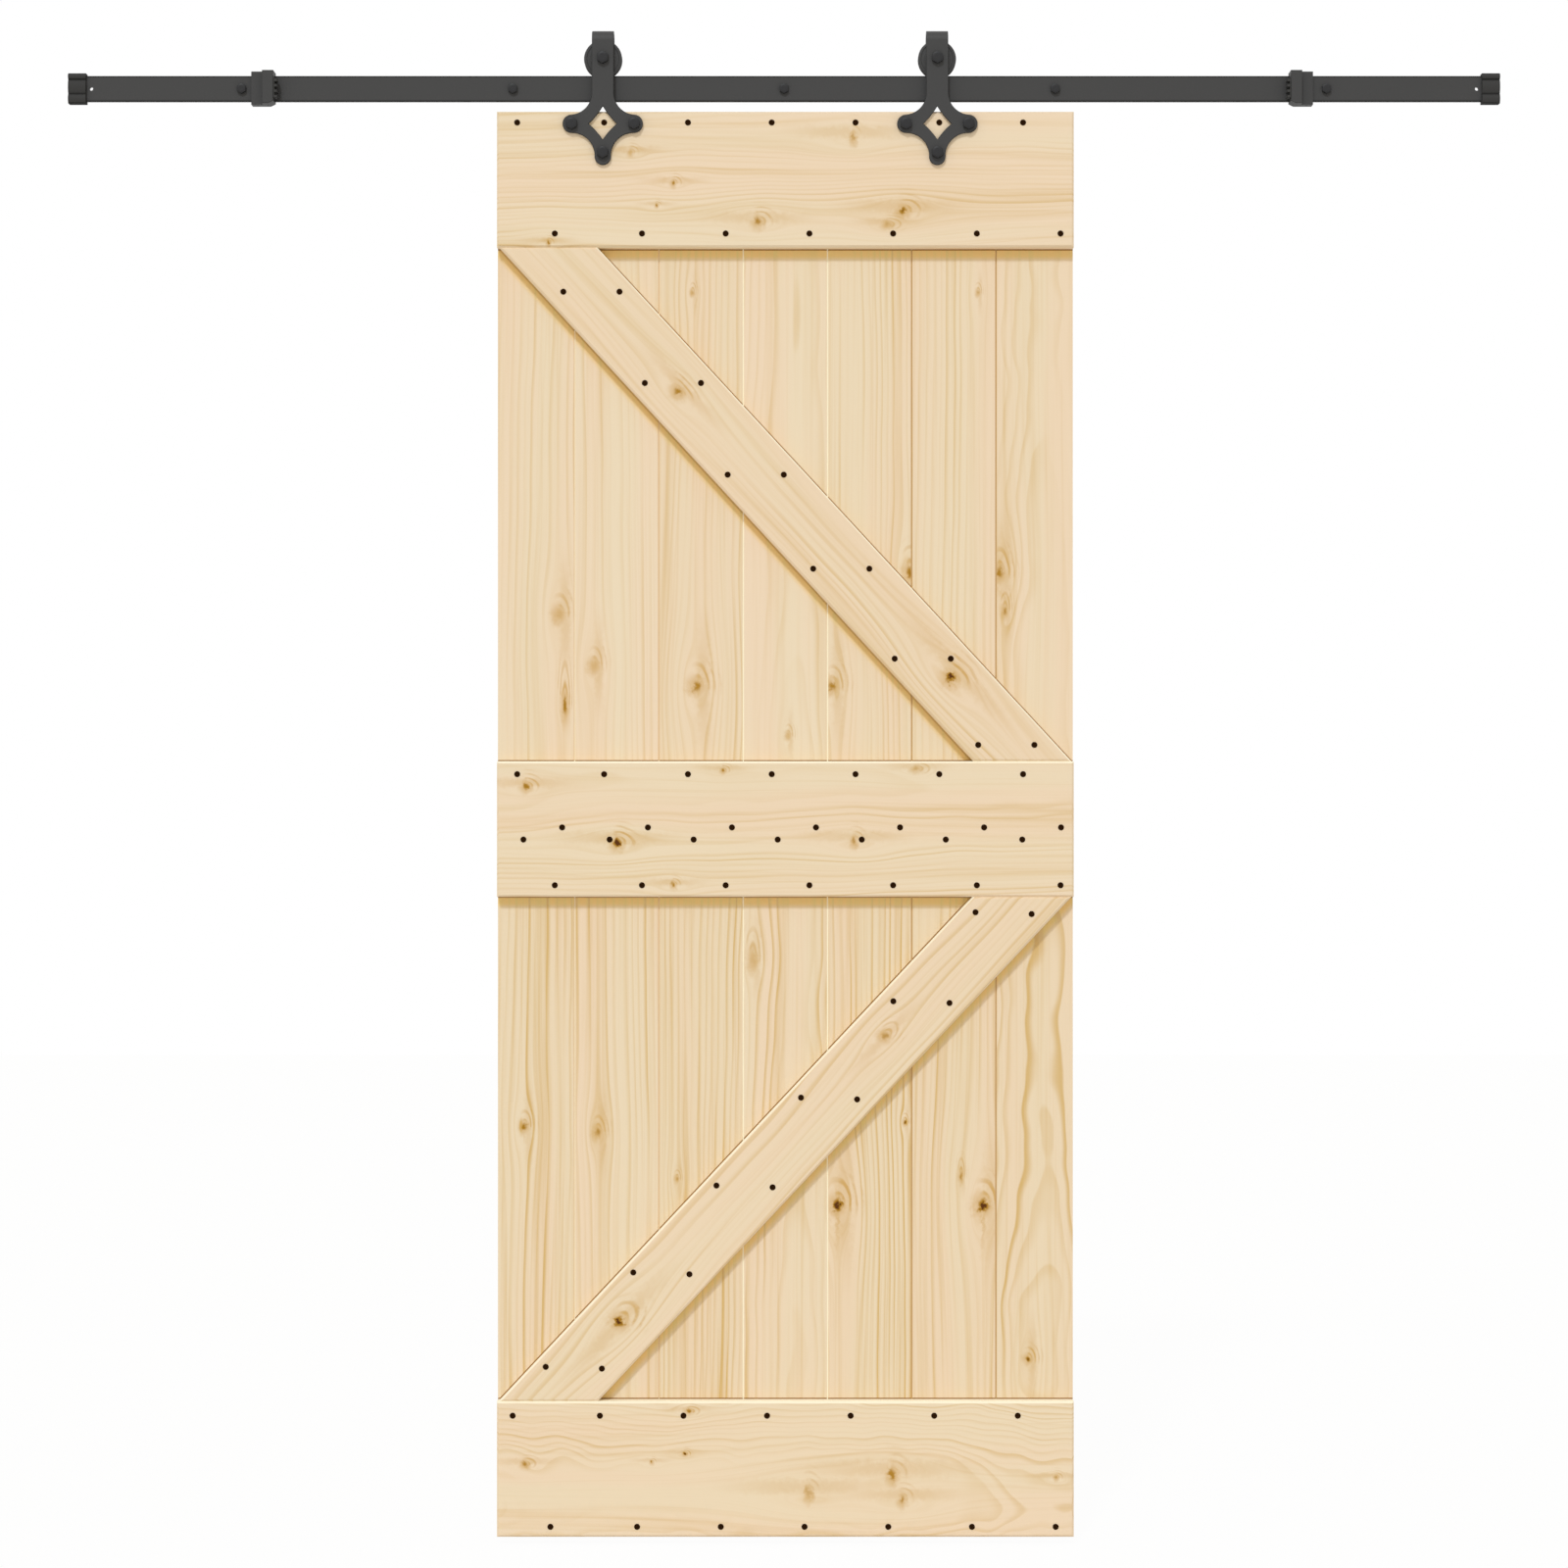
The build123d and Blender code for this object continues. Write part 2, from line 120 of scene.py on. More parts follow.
# How far a bolt's end is cut back, the angles round a head, a nut or a thread, and the slope of their corners
CHAMFER = 0.8 * MM
COLUMNS = 48
CORNER_SLOPE = math.tan(math.radians(30))

# Points nearer than this are merged, and sharper edges than this aren't shaded smooth
MERGE = 0.002 * MM
CREASE = math.radians(32)

COAT_CONTRAST = 0.25
WHITE = (1, 1, 1, 1)
FLOOR_REACH = 9.0

# The side of the knots on which the curls lie
KNOT_SIDE = Vector((0.8, 0, 0.6))


# Settings that a user may change


def colour(name, description, value):
    return FloatVectorProperty(
        name=name, description=description, subtype="COLOR", size=3, min=0, max=1, default=value
    )


def length(name, description, value):
    return FloatProperty(
        name=name, description=description, unit="LENGTH", subtype="DISTANCE", min=0, default=value
    )


class PineSettings(bpy.types.PropertyGroup):
    """Colours of the bare pine, and of the shade and highlights painted on it."""

    warm: colour("Warm wood", "Wood between the rings, in its pinker parts", (0.893, 0.726, 0.556))
    cool: colour("Cool wood", "Wood between the rings, in its yellower parts", (0.876, 0.746, 0.566))
    late: colour("Late wood", "The darker part of each growth ring", (0.70, 0.480, 0.200))
    halo: colour("Halo", "Stained wood around a knot", (0.58, 0.31, 0.02))
    heart: colour("Heart", "Wood of a knot", (0.44, 0.225, 0.022))
    core: colour("Core", "Middle of a dark knot", (0.105, 0.030, 0.001))
    # Painted shadow: a warm, darker colour on the boards just below the rails and braces, in place of their
    # cast shadow
    stain: colour("Stain", "Wood just below the rails and braces", (0.955, 0.615, 0.26))
    # Painted highlight on the chamfer of a board's edge, where light catches it; it also lights the upper edge
    # of rails and braces
    bright_joint: colour("Bright joint", "Fresh edge of a board", (1.0, 0.93, 0.76))
    faint_joint: colour("Faint joint", "Edge of a board that hardly shows", (0.84, 0.65, 0.43))
    dark_joint: colour("Dark joint", "Shaded edge of a board", (0.66, 0.45, 0.22))
    # Painted contact shade: a dark line on the boards along the edges of the rails and braces, where they meet
    # the boards
    seam: colour("Seam", "Line on the boards along the rails and braces", (0.30, 0.13, 0.02))
    joint_width: length("Joint width", "Width of the coloured edge of a board", 1.2 * MM)
    # Width of the painted contact shade
    seam_width: length("Seam width", "Width of the line along the rails and braces", 2.2 * MM)
    # Where the painted shadow lies below the rails and braces, and how soft its edge is
    stain_drop: length("Stain drop", "How far the stain lies below the rails and braces", 12 * MM)
    stain_width: length("Stain width", "Softness of the stain's edge", 8 * MM)
    # Painted highlight: a pale band along the upper edge of the lower rails and the braces, where light falls
    # on the chamfer
    fresh_width: length("Fresh edge", "Width of the pale upper edge of rails and braces", 3.4 * MM)


class HardwareSettings(bpy.types.PropertyGroup):
    """Colours and small shapes of the hardware, with the shade painted along its edges."""

    coat: colour("Coat", "Powder coat of the steel", (0.0465, 0.0465, 0.0485))
    # Painted shade: the darker colour along the edges of the track, the hangers, the stops, the end caps and
    # the bumpers
    edge: colour("Edge", "Powder coat along the edges", (0.016, 0.016, 0.016))
    black: colour("Black", "Bolts, nuts and screws", (0.018, 0.018, 0.020))
    screw: colour("Screws", "Burnt finish of the wood screws", (0.021, 0.0070, 0.0008))
    rubber: colour("Rubber", "End caps and bumpers", (0.040, 0.040, 0.041))
    bearing: colour("Bearing", "Ground steel of the bearings", (0.36, 0.36, 0.37))
    # Width of the painted shade along the track's edges
    edge_band: length("Edge band", "Darker band along both edges of the track", 2.2 * MM)
    edge_round: length("Edge rounding", "Rounding of the coated edges", 0.7 * MM)
    rubber_round: length("Rubber rounding", "Rounding of the moulded edges", 0.5 * MM)


class WoodScrewSettings(bpy.types.PropertyGroup):
    """Sizes of the small screws that hold the rails and braces."""

    head_width: length("Head width", "Across the head", 8.8 * MM)
    head_rise: length("Head rise", "From the wood to the top of the head", 1.1 * MM)
    recess_width: length("Recess width", "Width of each arm of the cross", 1.3 * MM)
    recess_length: length("Recess length", "From the middle to the end of an arm", 2.5 * MM)
    recess_depth: length("Recess depth", "Depth of the cross", 0.7 * MM)
    seed: IntProperty(name="Seed", description="Chooses how far each screw is turned", default=7)


class ThreadSettings(bpy.types.PropertyGroup):
    """Threads that the solids leave out."""

    lag_pitch: length("Lag pitch", "From thread to thread of the lag screws", 3.6 * MM)
    lag_root: length("Lag root", "Radius between the threads of the lag screws", 2.9 * MM)
    lag_point: length("Lag point", "Length of the point", 8 * MM)
    bolt_pitch: length("Bolt pitch", "From thread to thread of the axle bolts", 1.5 * MM)
    bolt_depth: length("Bolt depth", "Depth of the thread of the axle bolts", 0.9 * MM)


class StageSettings(bpy.types.PropertyGroup):
    """Camera, light and floor."""

    camera_distance: length("Camera distance", "From the lens to the front of the door", 5.0)
    frame_height: length("Frame height", "Height that the picture takes in at the door", 2.3095)
    frame_middle: length("Frame middle", "From the track down to the middle of the picture", 1.0256)
    sun: FloatProperty(name="Sun", description="Strength of the main light", default=1.15)
    sun_colour: colour("Sun colour", "Colour of the main light", (0.90, 0.96, 1.0))
    sun_spread: FloatProperty(
        name="Sun spread", description="Softness of the main light", subtype="ANGLE", default=math.radians(6)
    )
    fill: FloatProperty(name="Fill", description="Strength of the light from all round", default=0.70)
    fill_colour: colour("Fill colour", "Colour of the light from all round", (1.0, 0.93, 0.80))
    floor_gap: length("Floor gap", "From the floor to the door", 12 * MM)


SETTINGS = {
    "door_pine": PineSettings,
    "door_hardware": HardwareSettings,
    "door_wood_screws": WoodScrewSettings,
    "door_threads": ThreadSettings,
    "door_stage": StageSettings,
}


# Meshes


def turned(centres, radii, depths, turns=0.0):
    """Points of forms around axes along Y, one form for each centre.

    radii and depths hold a row for each station along the outline and a column for each angle:
    x = r sin a, y = -depth and z = r cos a, with the angles spread evenly over a full turn.
    """
    radii, depths = np.broadcast_arrays(np.asarray(radii, float), np.asarray(depths, float))
    columns = radii.shape[-1]
    angle = np.arange(columns) * TURN / columns + np.reshape(turns, (-1, 1, 1))
    points = np.stack(np.broadcast_arrays(radii * np.sin(angle), -depths, radii * np.cos(angle)), -1)
    return points + np.reshape([tuple(c) for c in centres], (-1, 1, 1, 3))


def grid_faces(copies, rows, columns, ring):
    """Quads of grids whose columns close on themselves, as the rows of a ring do too."""
    start = np.arange(copies)[:, None, None] * rows * columns
    row = np.arange(rows if ring else rows - 1)[None, :, None]
    column = np.arange(columns)[None, None, :]
    after = (column + 1) % columns
    above = (row + 1) % rows
    corners = [(row, column), (row, after), (above, after), (above, column)]
    return np.stack([start + r * columns + c for r, c in corners], -1).reshape(-1, 4)


def finish_mesh(mesh):
    """Merges doubled points, turns the faces outwards and shades all but the sharp edges smooth."""
    shape = bmesh.new()
    shape.from_mesh(mesh)
    bmesh.ops.remove_doubles(shape, verts=shape.verts, dist=MERGE)
    bmesh.ops.recalc_face_normals(shape, faces=shape.faces)
    shape.to_mesh(mesh)
    shape.free()
    mesh.shade_smooth()
    mesh.set_sharp_from_angle(angle=CREASE)


def place_piece(name, mesh, body, materials, replaces=()):
    """Links a finished mesh as a piece that rides on a body."""
    piece = bpy.data.objects.new(name, mesh)
    bpy.context.scene.collection.objects.link(piece)
    for material in materials:
        mesh.materials.append(bpy.data.materials[material])
    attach(piece, body)
    if replaces:
        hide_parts(*replaces)
    return piece


def grid_piece(name, points, body, slot, material, *replaces, ring=False):
    """A piece made of grids of points, which are closed at their poles or into rings."""
    copies, rows, columns, _ = points.shape
    mesh = bpy.data.meshes.new(name)
    mesh.from_pydata(points.reshape(-1, 3), [], grid_faces(copies, rows, columns, ring))
    finish_mesh(mesh)
    return place_piece(name, mesh, body, [material], replaces)


def eased_copy(node, name, materials, rounding):
    """A copy of a node's mesh with its sharp edges rounded. A second, darker material goes on the rounded edges
    as painted shade.
    """
    mesh = frame["nodes"][node].data.copy()
    mesh.name = name
    mesh.materials.clear()
    shape = bmesh.new()
    shape.from_mesh(mesh)
    bmesh.ops.remove_doubles(shape, verts=shape.verts, dist=MERGE)
    bmesh.ops.dissolve_limit(shape, angle_limit=math.radians(0.5), verts=shape.verts, edges=shape.edges)
    shape.to_mesh(mesh)
    shape.free()
    mesh.shade_smooth()
    body = frame["nodes"][node]["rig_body"]
    piece = place_piece(name, mesh, body, materials, [node])
    bevel = piece.modifiers.new("Rounding", "BEVEL")
    bevel.width = rounding
    bevel.segments = 2
    bevel.limit_method = "ANGLE"
    bevel.angle_limit = math.radians(30)
    bevel.material = len(materials) - 1
    piece.modifiers.new("Flat faces", "WEIGHTED_NORMAL")
    return piece


def stations(*pairs):
    """Radii and depths of an outline, with one row for each pair."""
    radii, depths = zip(*pairs)
    return np.array(radii)[:, None], np.array(depths)[:, None]


def hexagon(width):
    """Radius of a hexagon with corners up and down: half its width over the cosine from the nearest flat."""
    angle = np.arange(COLUMNS) * TURN / COLUMNS
    return width / 2 / np.cos(angle % (TURN / 6) - TURN / 12)


def around(rows, seat=0.0):
    """Radii and depths of rows that aren't the same all round, with their depths counted from the seat."""
    radii = np.array([np.broadcast_to(radius, COLUMNS) for radius, _ in rows])
    return radii, np.array([np.broadcast_to(depth, COLUMNS) for _, depth in rows]) + seat


def hexagon_head(width, height, seat):
    """Rows of a hexagon head from the middle of its top to its seat.

    The top is cut back by a cone of 30 degrees, so each corner is lower by the tangent times its distance.
    """
    flat = 0.92 * width / 2
    washer = 0.97 * width / 2
    outline = hexagon(width)
    halfway = (outline + flat) / 2
    return around([
        (0, height),
        (0.6 * flat, height),
        (flat, height),
        (halfway, height - (halfway - flat) * CORNER_SLOPE),
        (outline, height - (outline - flat) * CORNER_SLOPE),
        (outline, 0.09 * height),
        (washer, 0.06 * height),
        (washer, 0),
    ], seat)


def thread(root, crest, start, end, pitch, point=0.0):
    """Rows of a thread from start back to end, in depth.

    The radius rises from root to crest where the depth over the pitch, less the share of a turn, is halfway
    between two whole numbers. Over the last stretch, the point, both shrink to nothing.
    """
    count = round((start - end) / pitch * 6)
    depth = np.linspace(start, end, count)[:, None]
    share = np.arange(COLUMNS)[None] / COLUMNS
    phase = (depth / pitch - share) % 1
    ridge = np.clip(1 - 2.4 * np.abs(phase - 0.5), 0, 1)
    taper = np.clip((depth - end) / point, 0, 1) if point else 1
    radii = (root + (crest - root) * ridge) * taper
    return radii, np.broadcast_to(depth, radii.shape)


def joined(*outlines):
    """Several runs of rows as one outline."""
    columns = max(radii.shape[1] for radii, _ in outlines)
    wide = [[np.broadcast_to(values, (len(values), columns)) for values in run] for run in outlines]
    return np.concatenate([r for r, _ in wide]), np.concatenate([d for _, d in wide])


# Shader graphs


class Value:
    """An output of a node. Arithmetic with values adds the nodes that it needs."""

    def __init__(self, graph, socket):
        self.graph = graph
        self.socket = socket

    def __add__(self, other):
        return self.graph.math("ADD", self, other)

    def __sub__(self, other):
        return self.graph.math("SUBTRACT", self, other)

    def __rsub__(self, other):
        return self.graph.math("SUBTRACT", other, self)

    def __mul__(self, other):
        return self.graph.math("MULTIPLY", self, other)

    def __truediv__(self, other):
        return self.graph.math("DIVIDE", self, other)

    def __neg__(self):
        return self.graph.math("MULTIPLY", self, -1)

    def __abs__(self):
        return self.graph.math("ABSOLUTE", self)

    __radd__ = __add__
    __rmul__ = __mul__


class Graph:
    """Short calls that add nodes to one tree. What they are given is a number, a vector or a value."""

    def __init__(self, tree):
        self.tree = tree

    def node(self, kind, inputs=None, **settings):
        node = self.tree.nodes.new(kind)
        for name, value in settings.items():
            setattr(node, name, value)
        for name, value in (inputs or {}).items():
            self.feed(node.inputs[name], value)
        return node

    def add(self, kind, inputs=None, output=0, **settings):
        """One output of a new node."""
        return Value(self, self.node(kind, inputs, **settings).outputs[output])

    def feed(self, socket, value):
        if isinstance(value, Value):
            self.tree.links.new(value.socket, socket)
        else:
            socket.default_value = value

    def feed_all(self, sockets, values):
        """Feeds sockets by name. An underscore stands for a space."""
        for name, value in values.items():
            self.feed(sockets[name.replace("_", " ").capitalize()], value)

    def put(self, **values):
        """Feeds the outputs of a group."""
        self.feed_all(self.tree.nodes.new("NodeGroupOutput").inputs, values)

    def place(self, group, **inputs):
        """Places a group of this file. Its outputs go by their names in small letters."""
        node = self.node("ShaderNodeGroup", node_tree=bpy.data.node_groups[group])
        self.feed_all(node.inputs, inputs)
        return {output.name.lower(): Value(self, output) for output in node.outputs}

    def math(self, operation, *values, clamp=False):
        return self.add("ShaderNodeMath", dict(enumerate(values)), operation=operation, use_clamp=clamp)

    def either(self, first, second):
        """The larger of two values."""
        return self.math("MAXIMUM", first, second)

    def distance(self, first, second):
        """How long a way is whose two parts are square to each other."""
        return self.math("SQRT", first * first + second * second)

    def rise(self, value, low, high):
        """0 at low and 1 at high, with a smooth rise between."""
        inputs = {"Value": value, "From Min": low, "From Max": high}
        return self.add("ShaderNodeMapRange", inputs, interpolation_type="SMOOTHSTEP")

    def fall(self, value, low, high):
        """1 at low and 0 at high, with a smooth fall between."""
        return 1 - self.rise(value, low, high)

    def mix(self, share, first, second, blend="MIX"):
        """A colour between two others."""
        inputs = {0: share, 6: first, 7: second}
        return self.add("ShaderNodeMix", inputs, 2, data_type="RGBA", blend_type=blend)

    def shade(self, colour_now, brightness):
        return self.add("ShaderNodeHueSaturation", {"Color": colour_now, "Value": brightness})

    def split(self, vector):
        return [Value(self, part) for part in self.node("ShaderNodeSeparateXYZ", {0: vector}).outputs]

    def join(self, x, y, z):
        return self.add("ShaderNodeCombineXYZ", {0: x, 1: y, 2: z})

    def noise(self, vector, scale=1.0, detail=2.0, roughness=0.5):
        inputs = {"Vector": vector, "Scale": scale, "Detail": detail, "Roughness": roughness}
        return self.add("ShaderNodeTexNoise", inputs)


def new_group(name, inputs, outputs):
    """A shader node group: its graph, and its inputs as values that go by their names in small letters.

    The sockets are numbers, apart from those with "vector" or "colour" before their name.
    """
    tree = bpy.data.node_groups.new(name, "ShaderNodeTree")
    kinds = {"vector": "NodeSocketVector", "colour": "NodeSocketColor"}
    for way, labels in (("INPUT", inputs), ("OUTPUT", outputs)):
        for label in labels.split(", "):
            kind, _, rest = label.partition(" ")
            if kind not in kinds:
                rest = label
            tree.interface.new_socket(rest, in_out=way, socket_type=kinds.get(kind, "NodeSocketFloat"))
    graph = Graph(tree)
    sockets = tree.nodes.new("NodeGroupInput").outputs
    given = {socket.name.lower().replace(" ", "_"): Value(graph, socket) for socket in sockets if socket.name}
    return graph, SimpleNamespace(**given)


def knot_group():
    """A knot: it pushes the grain aside and gives masks of its heart, its halo and the curls beside it.

    The grain moves away by d * a * a / (d * d + u * u / 7 + a * a / 2), with d across and u along from the
    knot and a its reach. The masks fall with the distance over the radius, with the length stretched along
    the grain. The curls are ripples of that distance on the side that Side points to. A streak runs along
    the grain on the other side, and a tail of the halo colour hangs below.
    """
    graph, given = new_group(
        "Knot",
        "vector Vector, Shift, Heart, Halo, Curl, vector Place, vector Side, Radius, Stretch, Tail, Dark",
        "Shift, Heart, Halo, Curl",
    )
    radius = given.radius
    ragged = (graph.noise(given.vector, 110, 3, 0.6) - 0.5) * (radius * 1.7)
    x, _, z = graph.split(given.vector)
    place_x, _, place_z = graph.split(given.place)
    side_x, _, side_z = graph.split(given.side)
    across = x - place_x
    along = z - place_z
    reach = radius * 2.4
    square = reach * reach
    push = across * square / (across * across + square * 0.5 + along * along * (1 / 7))

    wide = across + ragged
    distance = graph.distance(wide, (along + ragged) / given.stretch) / radius
    heart = graph.fall(distance, 0.1, 1.0) * given.dark
    halo = graph.fall(distance, 0.3, 2.4)

    ahead = (across * side_x + along * side_z) / radius
    facing = graph.rise(ahead / (distance + 0.2), 0.25, 0.85)
    near = graph.rise(distance, 0.8, 1.5) * graph.fall(distance, 2, 4.6)
    oval = graph.distance(across, along / (given.stretch * 1.7)) / radius
    ripple = graph.math("SINE", oval * 7 + graph.noise(given.vector, 38, 1) * 4)
    curl = graph.rise(ripple, -0.2, 1) * (given.dark * 0.5 + 0.6) * (near * facing)

    aside = abs(across + radius * (side_x * -1.3) + ragged) / radius
    streak = graph.fall(aside, 0.2, 1.5) * graph.fall(abs(along) / radius, 1, 14)
    halo = graph.either(halo, streak * 0.45)

    below = -along
    fade = graph.math("SUBTRACT", 1, below / graph.either(given.tail, MM), clamp=True)
    tail = graph.fall(abs(wide) / (radius * 0.45), 0, 1) * (fade * graph.rise(below, 0, 2 * MM))
    halo = graph.either(halo, tail)
    graph.put(
        shift=given.shift - push,
        heart=graph.either(given.heart, heart),
        halo=graph.either(given.halo, halo),
        curl=graph.either(given.curl, curl),
    )


def growth_group():
    """Growth rings, fibres and broad bands of a sawn board.

    A ring is where the distance from the pith, plus the taper along the trunk and a slow wobble, is a whole
    number of spacings. It darkens slowly and ends sharply, and each year has its own strength.
    """
    graph, given = new_group(
        "Growth rings",
        "vector Vector, Shift, vector Pith, Taper, Spacing, Wobble, Waves, Seed",
        "Ring, Fibre, Line, Band, Tint",
    )
    x, y, z = graph.split(given.vector)
    pith_x, pith_y, _ = graph.split(given.pith)
    across = x + given.shift
    seed = given.seed

    def stretched(per_metre_across, per_metre_along, offset):
        """Noise coordinates that change slowly along the grain."""
        return graph.join(
            across * per_metre_across + (seed + offset), y * per_metre_across, z * per_metre_along + seed
        )

    slow = graph.noise(stretched(7, given.waves, 0)) - 0.5
    radius = graph.distance(across - pith_x, y - pith_y) + z * given.taper + slow * given.wobble
    years = radius / given.spacing
    years += graph.noise(graph.join(years * 0.31, seed, 0), 1, 1) * 2.2
    part = graph.math("FRACT", years)
    year = graph.math("FLOOR", years)
    chance = graph.add("ShaderNodeTexWhiteNoise", {"W": year + seed}, noise_dimensions="1D")
    strength = graph.math("POWER", chance, 1.3) * 0.8 + 0.2
    patch = graph.rise(graph.noise(stretched(14, 1.5, 40), 1, 1), 0.28, 0.6)
    graph.put(
        ring=graph.rise(part, 0.42, 0.88) * graph.fall(part, 0.89, 1.0) * (strength * patch),
        fibre=graph.noise(stretched(620, 9, 11), 1, 3, 0.6),
        line=graph.noise(stretched(190, 1.8, 17), 1, 2, 0.6),
        band=graph.noise(stretched(55, 1.1, 23), 1, 3, 0.55),
        tint=graph.noise(stretched(16, 0.9, 31)),
    )


def pine_group():
    """Colour, roughness and height of pine from its growth and its knots."""
    graph, given = new_group(
        "Pine",
        "Ring, Fibre, Line, Band, Tint, Heart, Halo, Curl, Tone, Contrast, colour Warm, colour Cool, "
        "colour Late, colour Halo colour, colour Heart colour, colour Core colour",
        "colour Color, Roughness, Height",
    )
    fibre = graph.rise(given.fibre, 0.45, 0.8)
    dark = given.ring * 0.8 + graph.rise(given.band, 0.5, 0.78) * 0.46
    dark = dark + graph.rise(given.line, 0.5, 0.72) * 0.2 + fibre * 0.08
    dark = graph.math("ADD", dark * given.contrast, given.tone, clamp=True)
    base = graph.mix(graph.rise(given.tint, 0.36, 0.62), given.warm, given.cool)
    halo = graph.math("ADD", given.curl * 0.45, given.halo * 0.55, clamp=True)
    colour_now = graph.mix(halo, graph.mix(dark, base, given.late), given.halo_colour)
    colour_now = graph.mix(graph.rise(given.heart, 0.0, 0.55), colour_now, given.heart_colour)
    graph.put(
        color=graph.mix(graph.rise(given.heart, 0.5, 0.9), colour_now, given.core_colour),
        roughness=dark * 0.08 + 0.56 + given.heart * -0.2,
        height=fibre * 0.25 + given.ring * 0.5 + given.heart * 0.8,
    )


def joint_group():
    """How near a point is to the left and the right edge of a board: 1 on the edge and 0 beyond the width."""
    graph, given = new_group("Joint edges", "vector Vector, Left, Right, Width", "At left, At right")
    x = graph.split(given.vector)[0]
    graph.put(
        at_left=graph.fall((x - given.left) / given.width, 0.75, 1.1),
        at_right=graph.fall((given.right - x) / given.width, 0.75, 1.1),
    )


def cover_group():
    """A mask around a rail or brace, for the painted shadow and contact shade on the boards and the painted
    highlight on its own upper edge: 1 under it and next to it, and 0 further out.

    The piece reaches half its width each way along Across, and half its height up and down. The mask falls
    from Start to 1, as shares of the reach outwards from the outline. The Mask that comes in is what other
    pieces left.
    """
    graph, given = new_group(
        "Cover edge",
        "vector Vector, Mask, vector Centre, vector Across, Half width, Half height, Reach, Start",
        "Mask",
    )
    way = graph.add("ShaderNodeVectorMath", {0: given.vector, 1: given.centre}, operation="SUBTRACT")
    aside = graph.add("ShaderNodeVectorMath", {0: way, 1: given.across}, "Value", operation="DOT_PRODUCT")
    up = graph.split(way)[2]
    outside = graph.either(abs(aside) - given.half_width, abs(up) - given.half_height) / given.reach
    graph.put(mask=graph.either(given.mask, graph.fall(outside, given.start, 1.0)))


def coating_group():
    """A fine-grained coat or moulding: speckled colour, uneven roughness and an orange-peel height."""
    graph, given = new_group(
        "Coating",
        "vector Vector, colour Colour, Grain, Roughness, Contrast",
        "colour Color, Roughness, Height",
    )
    fine = graph.noise(given.vector, given.grain)
    broad = graph.noise(given.vector, 9, 3, 0.6)
    share = (fine * 0.5 + broad * 0.5) * given.contrast
    graph.put(
        color=graph.mix(share, given.colour, graph.shade(given.colour, 1.35)),
        roughness=broad * 0.14 + given.roughness,
        height=fine,
    )


def turning_group():
    """Fine rings that a lathe or grinder leaves round an axis along Y, as noise on the depth."""
    graph, given = new_group("Turning marks", "vector Vector, colour Colour", "colour Color, Height")
    marks = graph.noise(graph.join(0, graph.split(given.vector)[1] * 3000, 0))
    graph.put(color=graph.mix(marks, given.colour, graph.shade(given.colour, 0.7)), height=marks)


# Materials


def rgba(value):
    return (*value, 1.0)


def new_tree(data):
    """Empties the node tree of a material or world."""
    data.use_nodes = True
    data.node_tree.nodes.clear()
    return Graph(data.node_tree)


def new_material(name):
    """A material with a plain shader: its graph, the shader's inputs and the Object coordinates."""
    graph = new_tree(bpy.data.materials.new(name))
    shader = graph.node("ShaderNodeBsdfPrincipled")
    graph.node("ShaderNodeOutputMaterial", {"Surface": Value(graph, shader.outputs[0])})
    return graph, shader.inputs, graph.add("ShaderNodeTexCoord", output="Object")


def dress(graph, shader, looks, depth, specular):
    """Gives a shader its colour, roughness and height, with the height's depth in millimetres."""
    graph.feed(shader["Base Color"], looks["color"])
    graph.feed(shader["Roughness"], looks["roughness"])
    bump = {"Height": looks["height"], "Distance": depth * MM, "Strength": 1.0}
    graph.feed(shader["Normal"], graph.add("ShaderNodeBump", bump))
    shader["Specular IOR Level"].default_value = specular


def on_door(across, drop):
    """A point given from the door's centre line and its top edge, in millimetres."""
    return Vector((DOOR_MIDDLE + across * MM, DOOR_FRONT, DOOR_TOP - drop * MM))


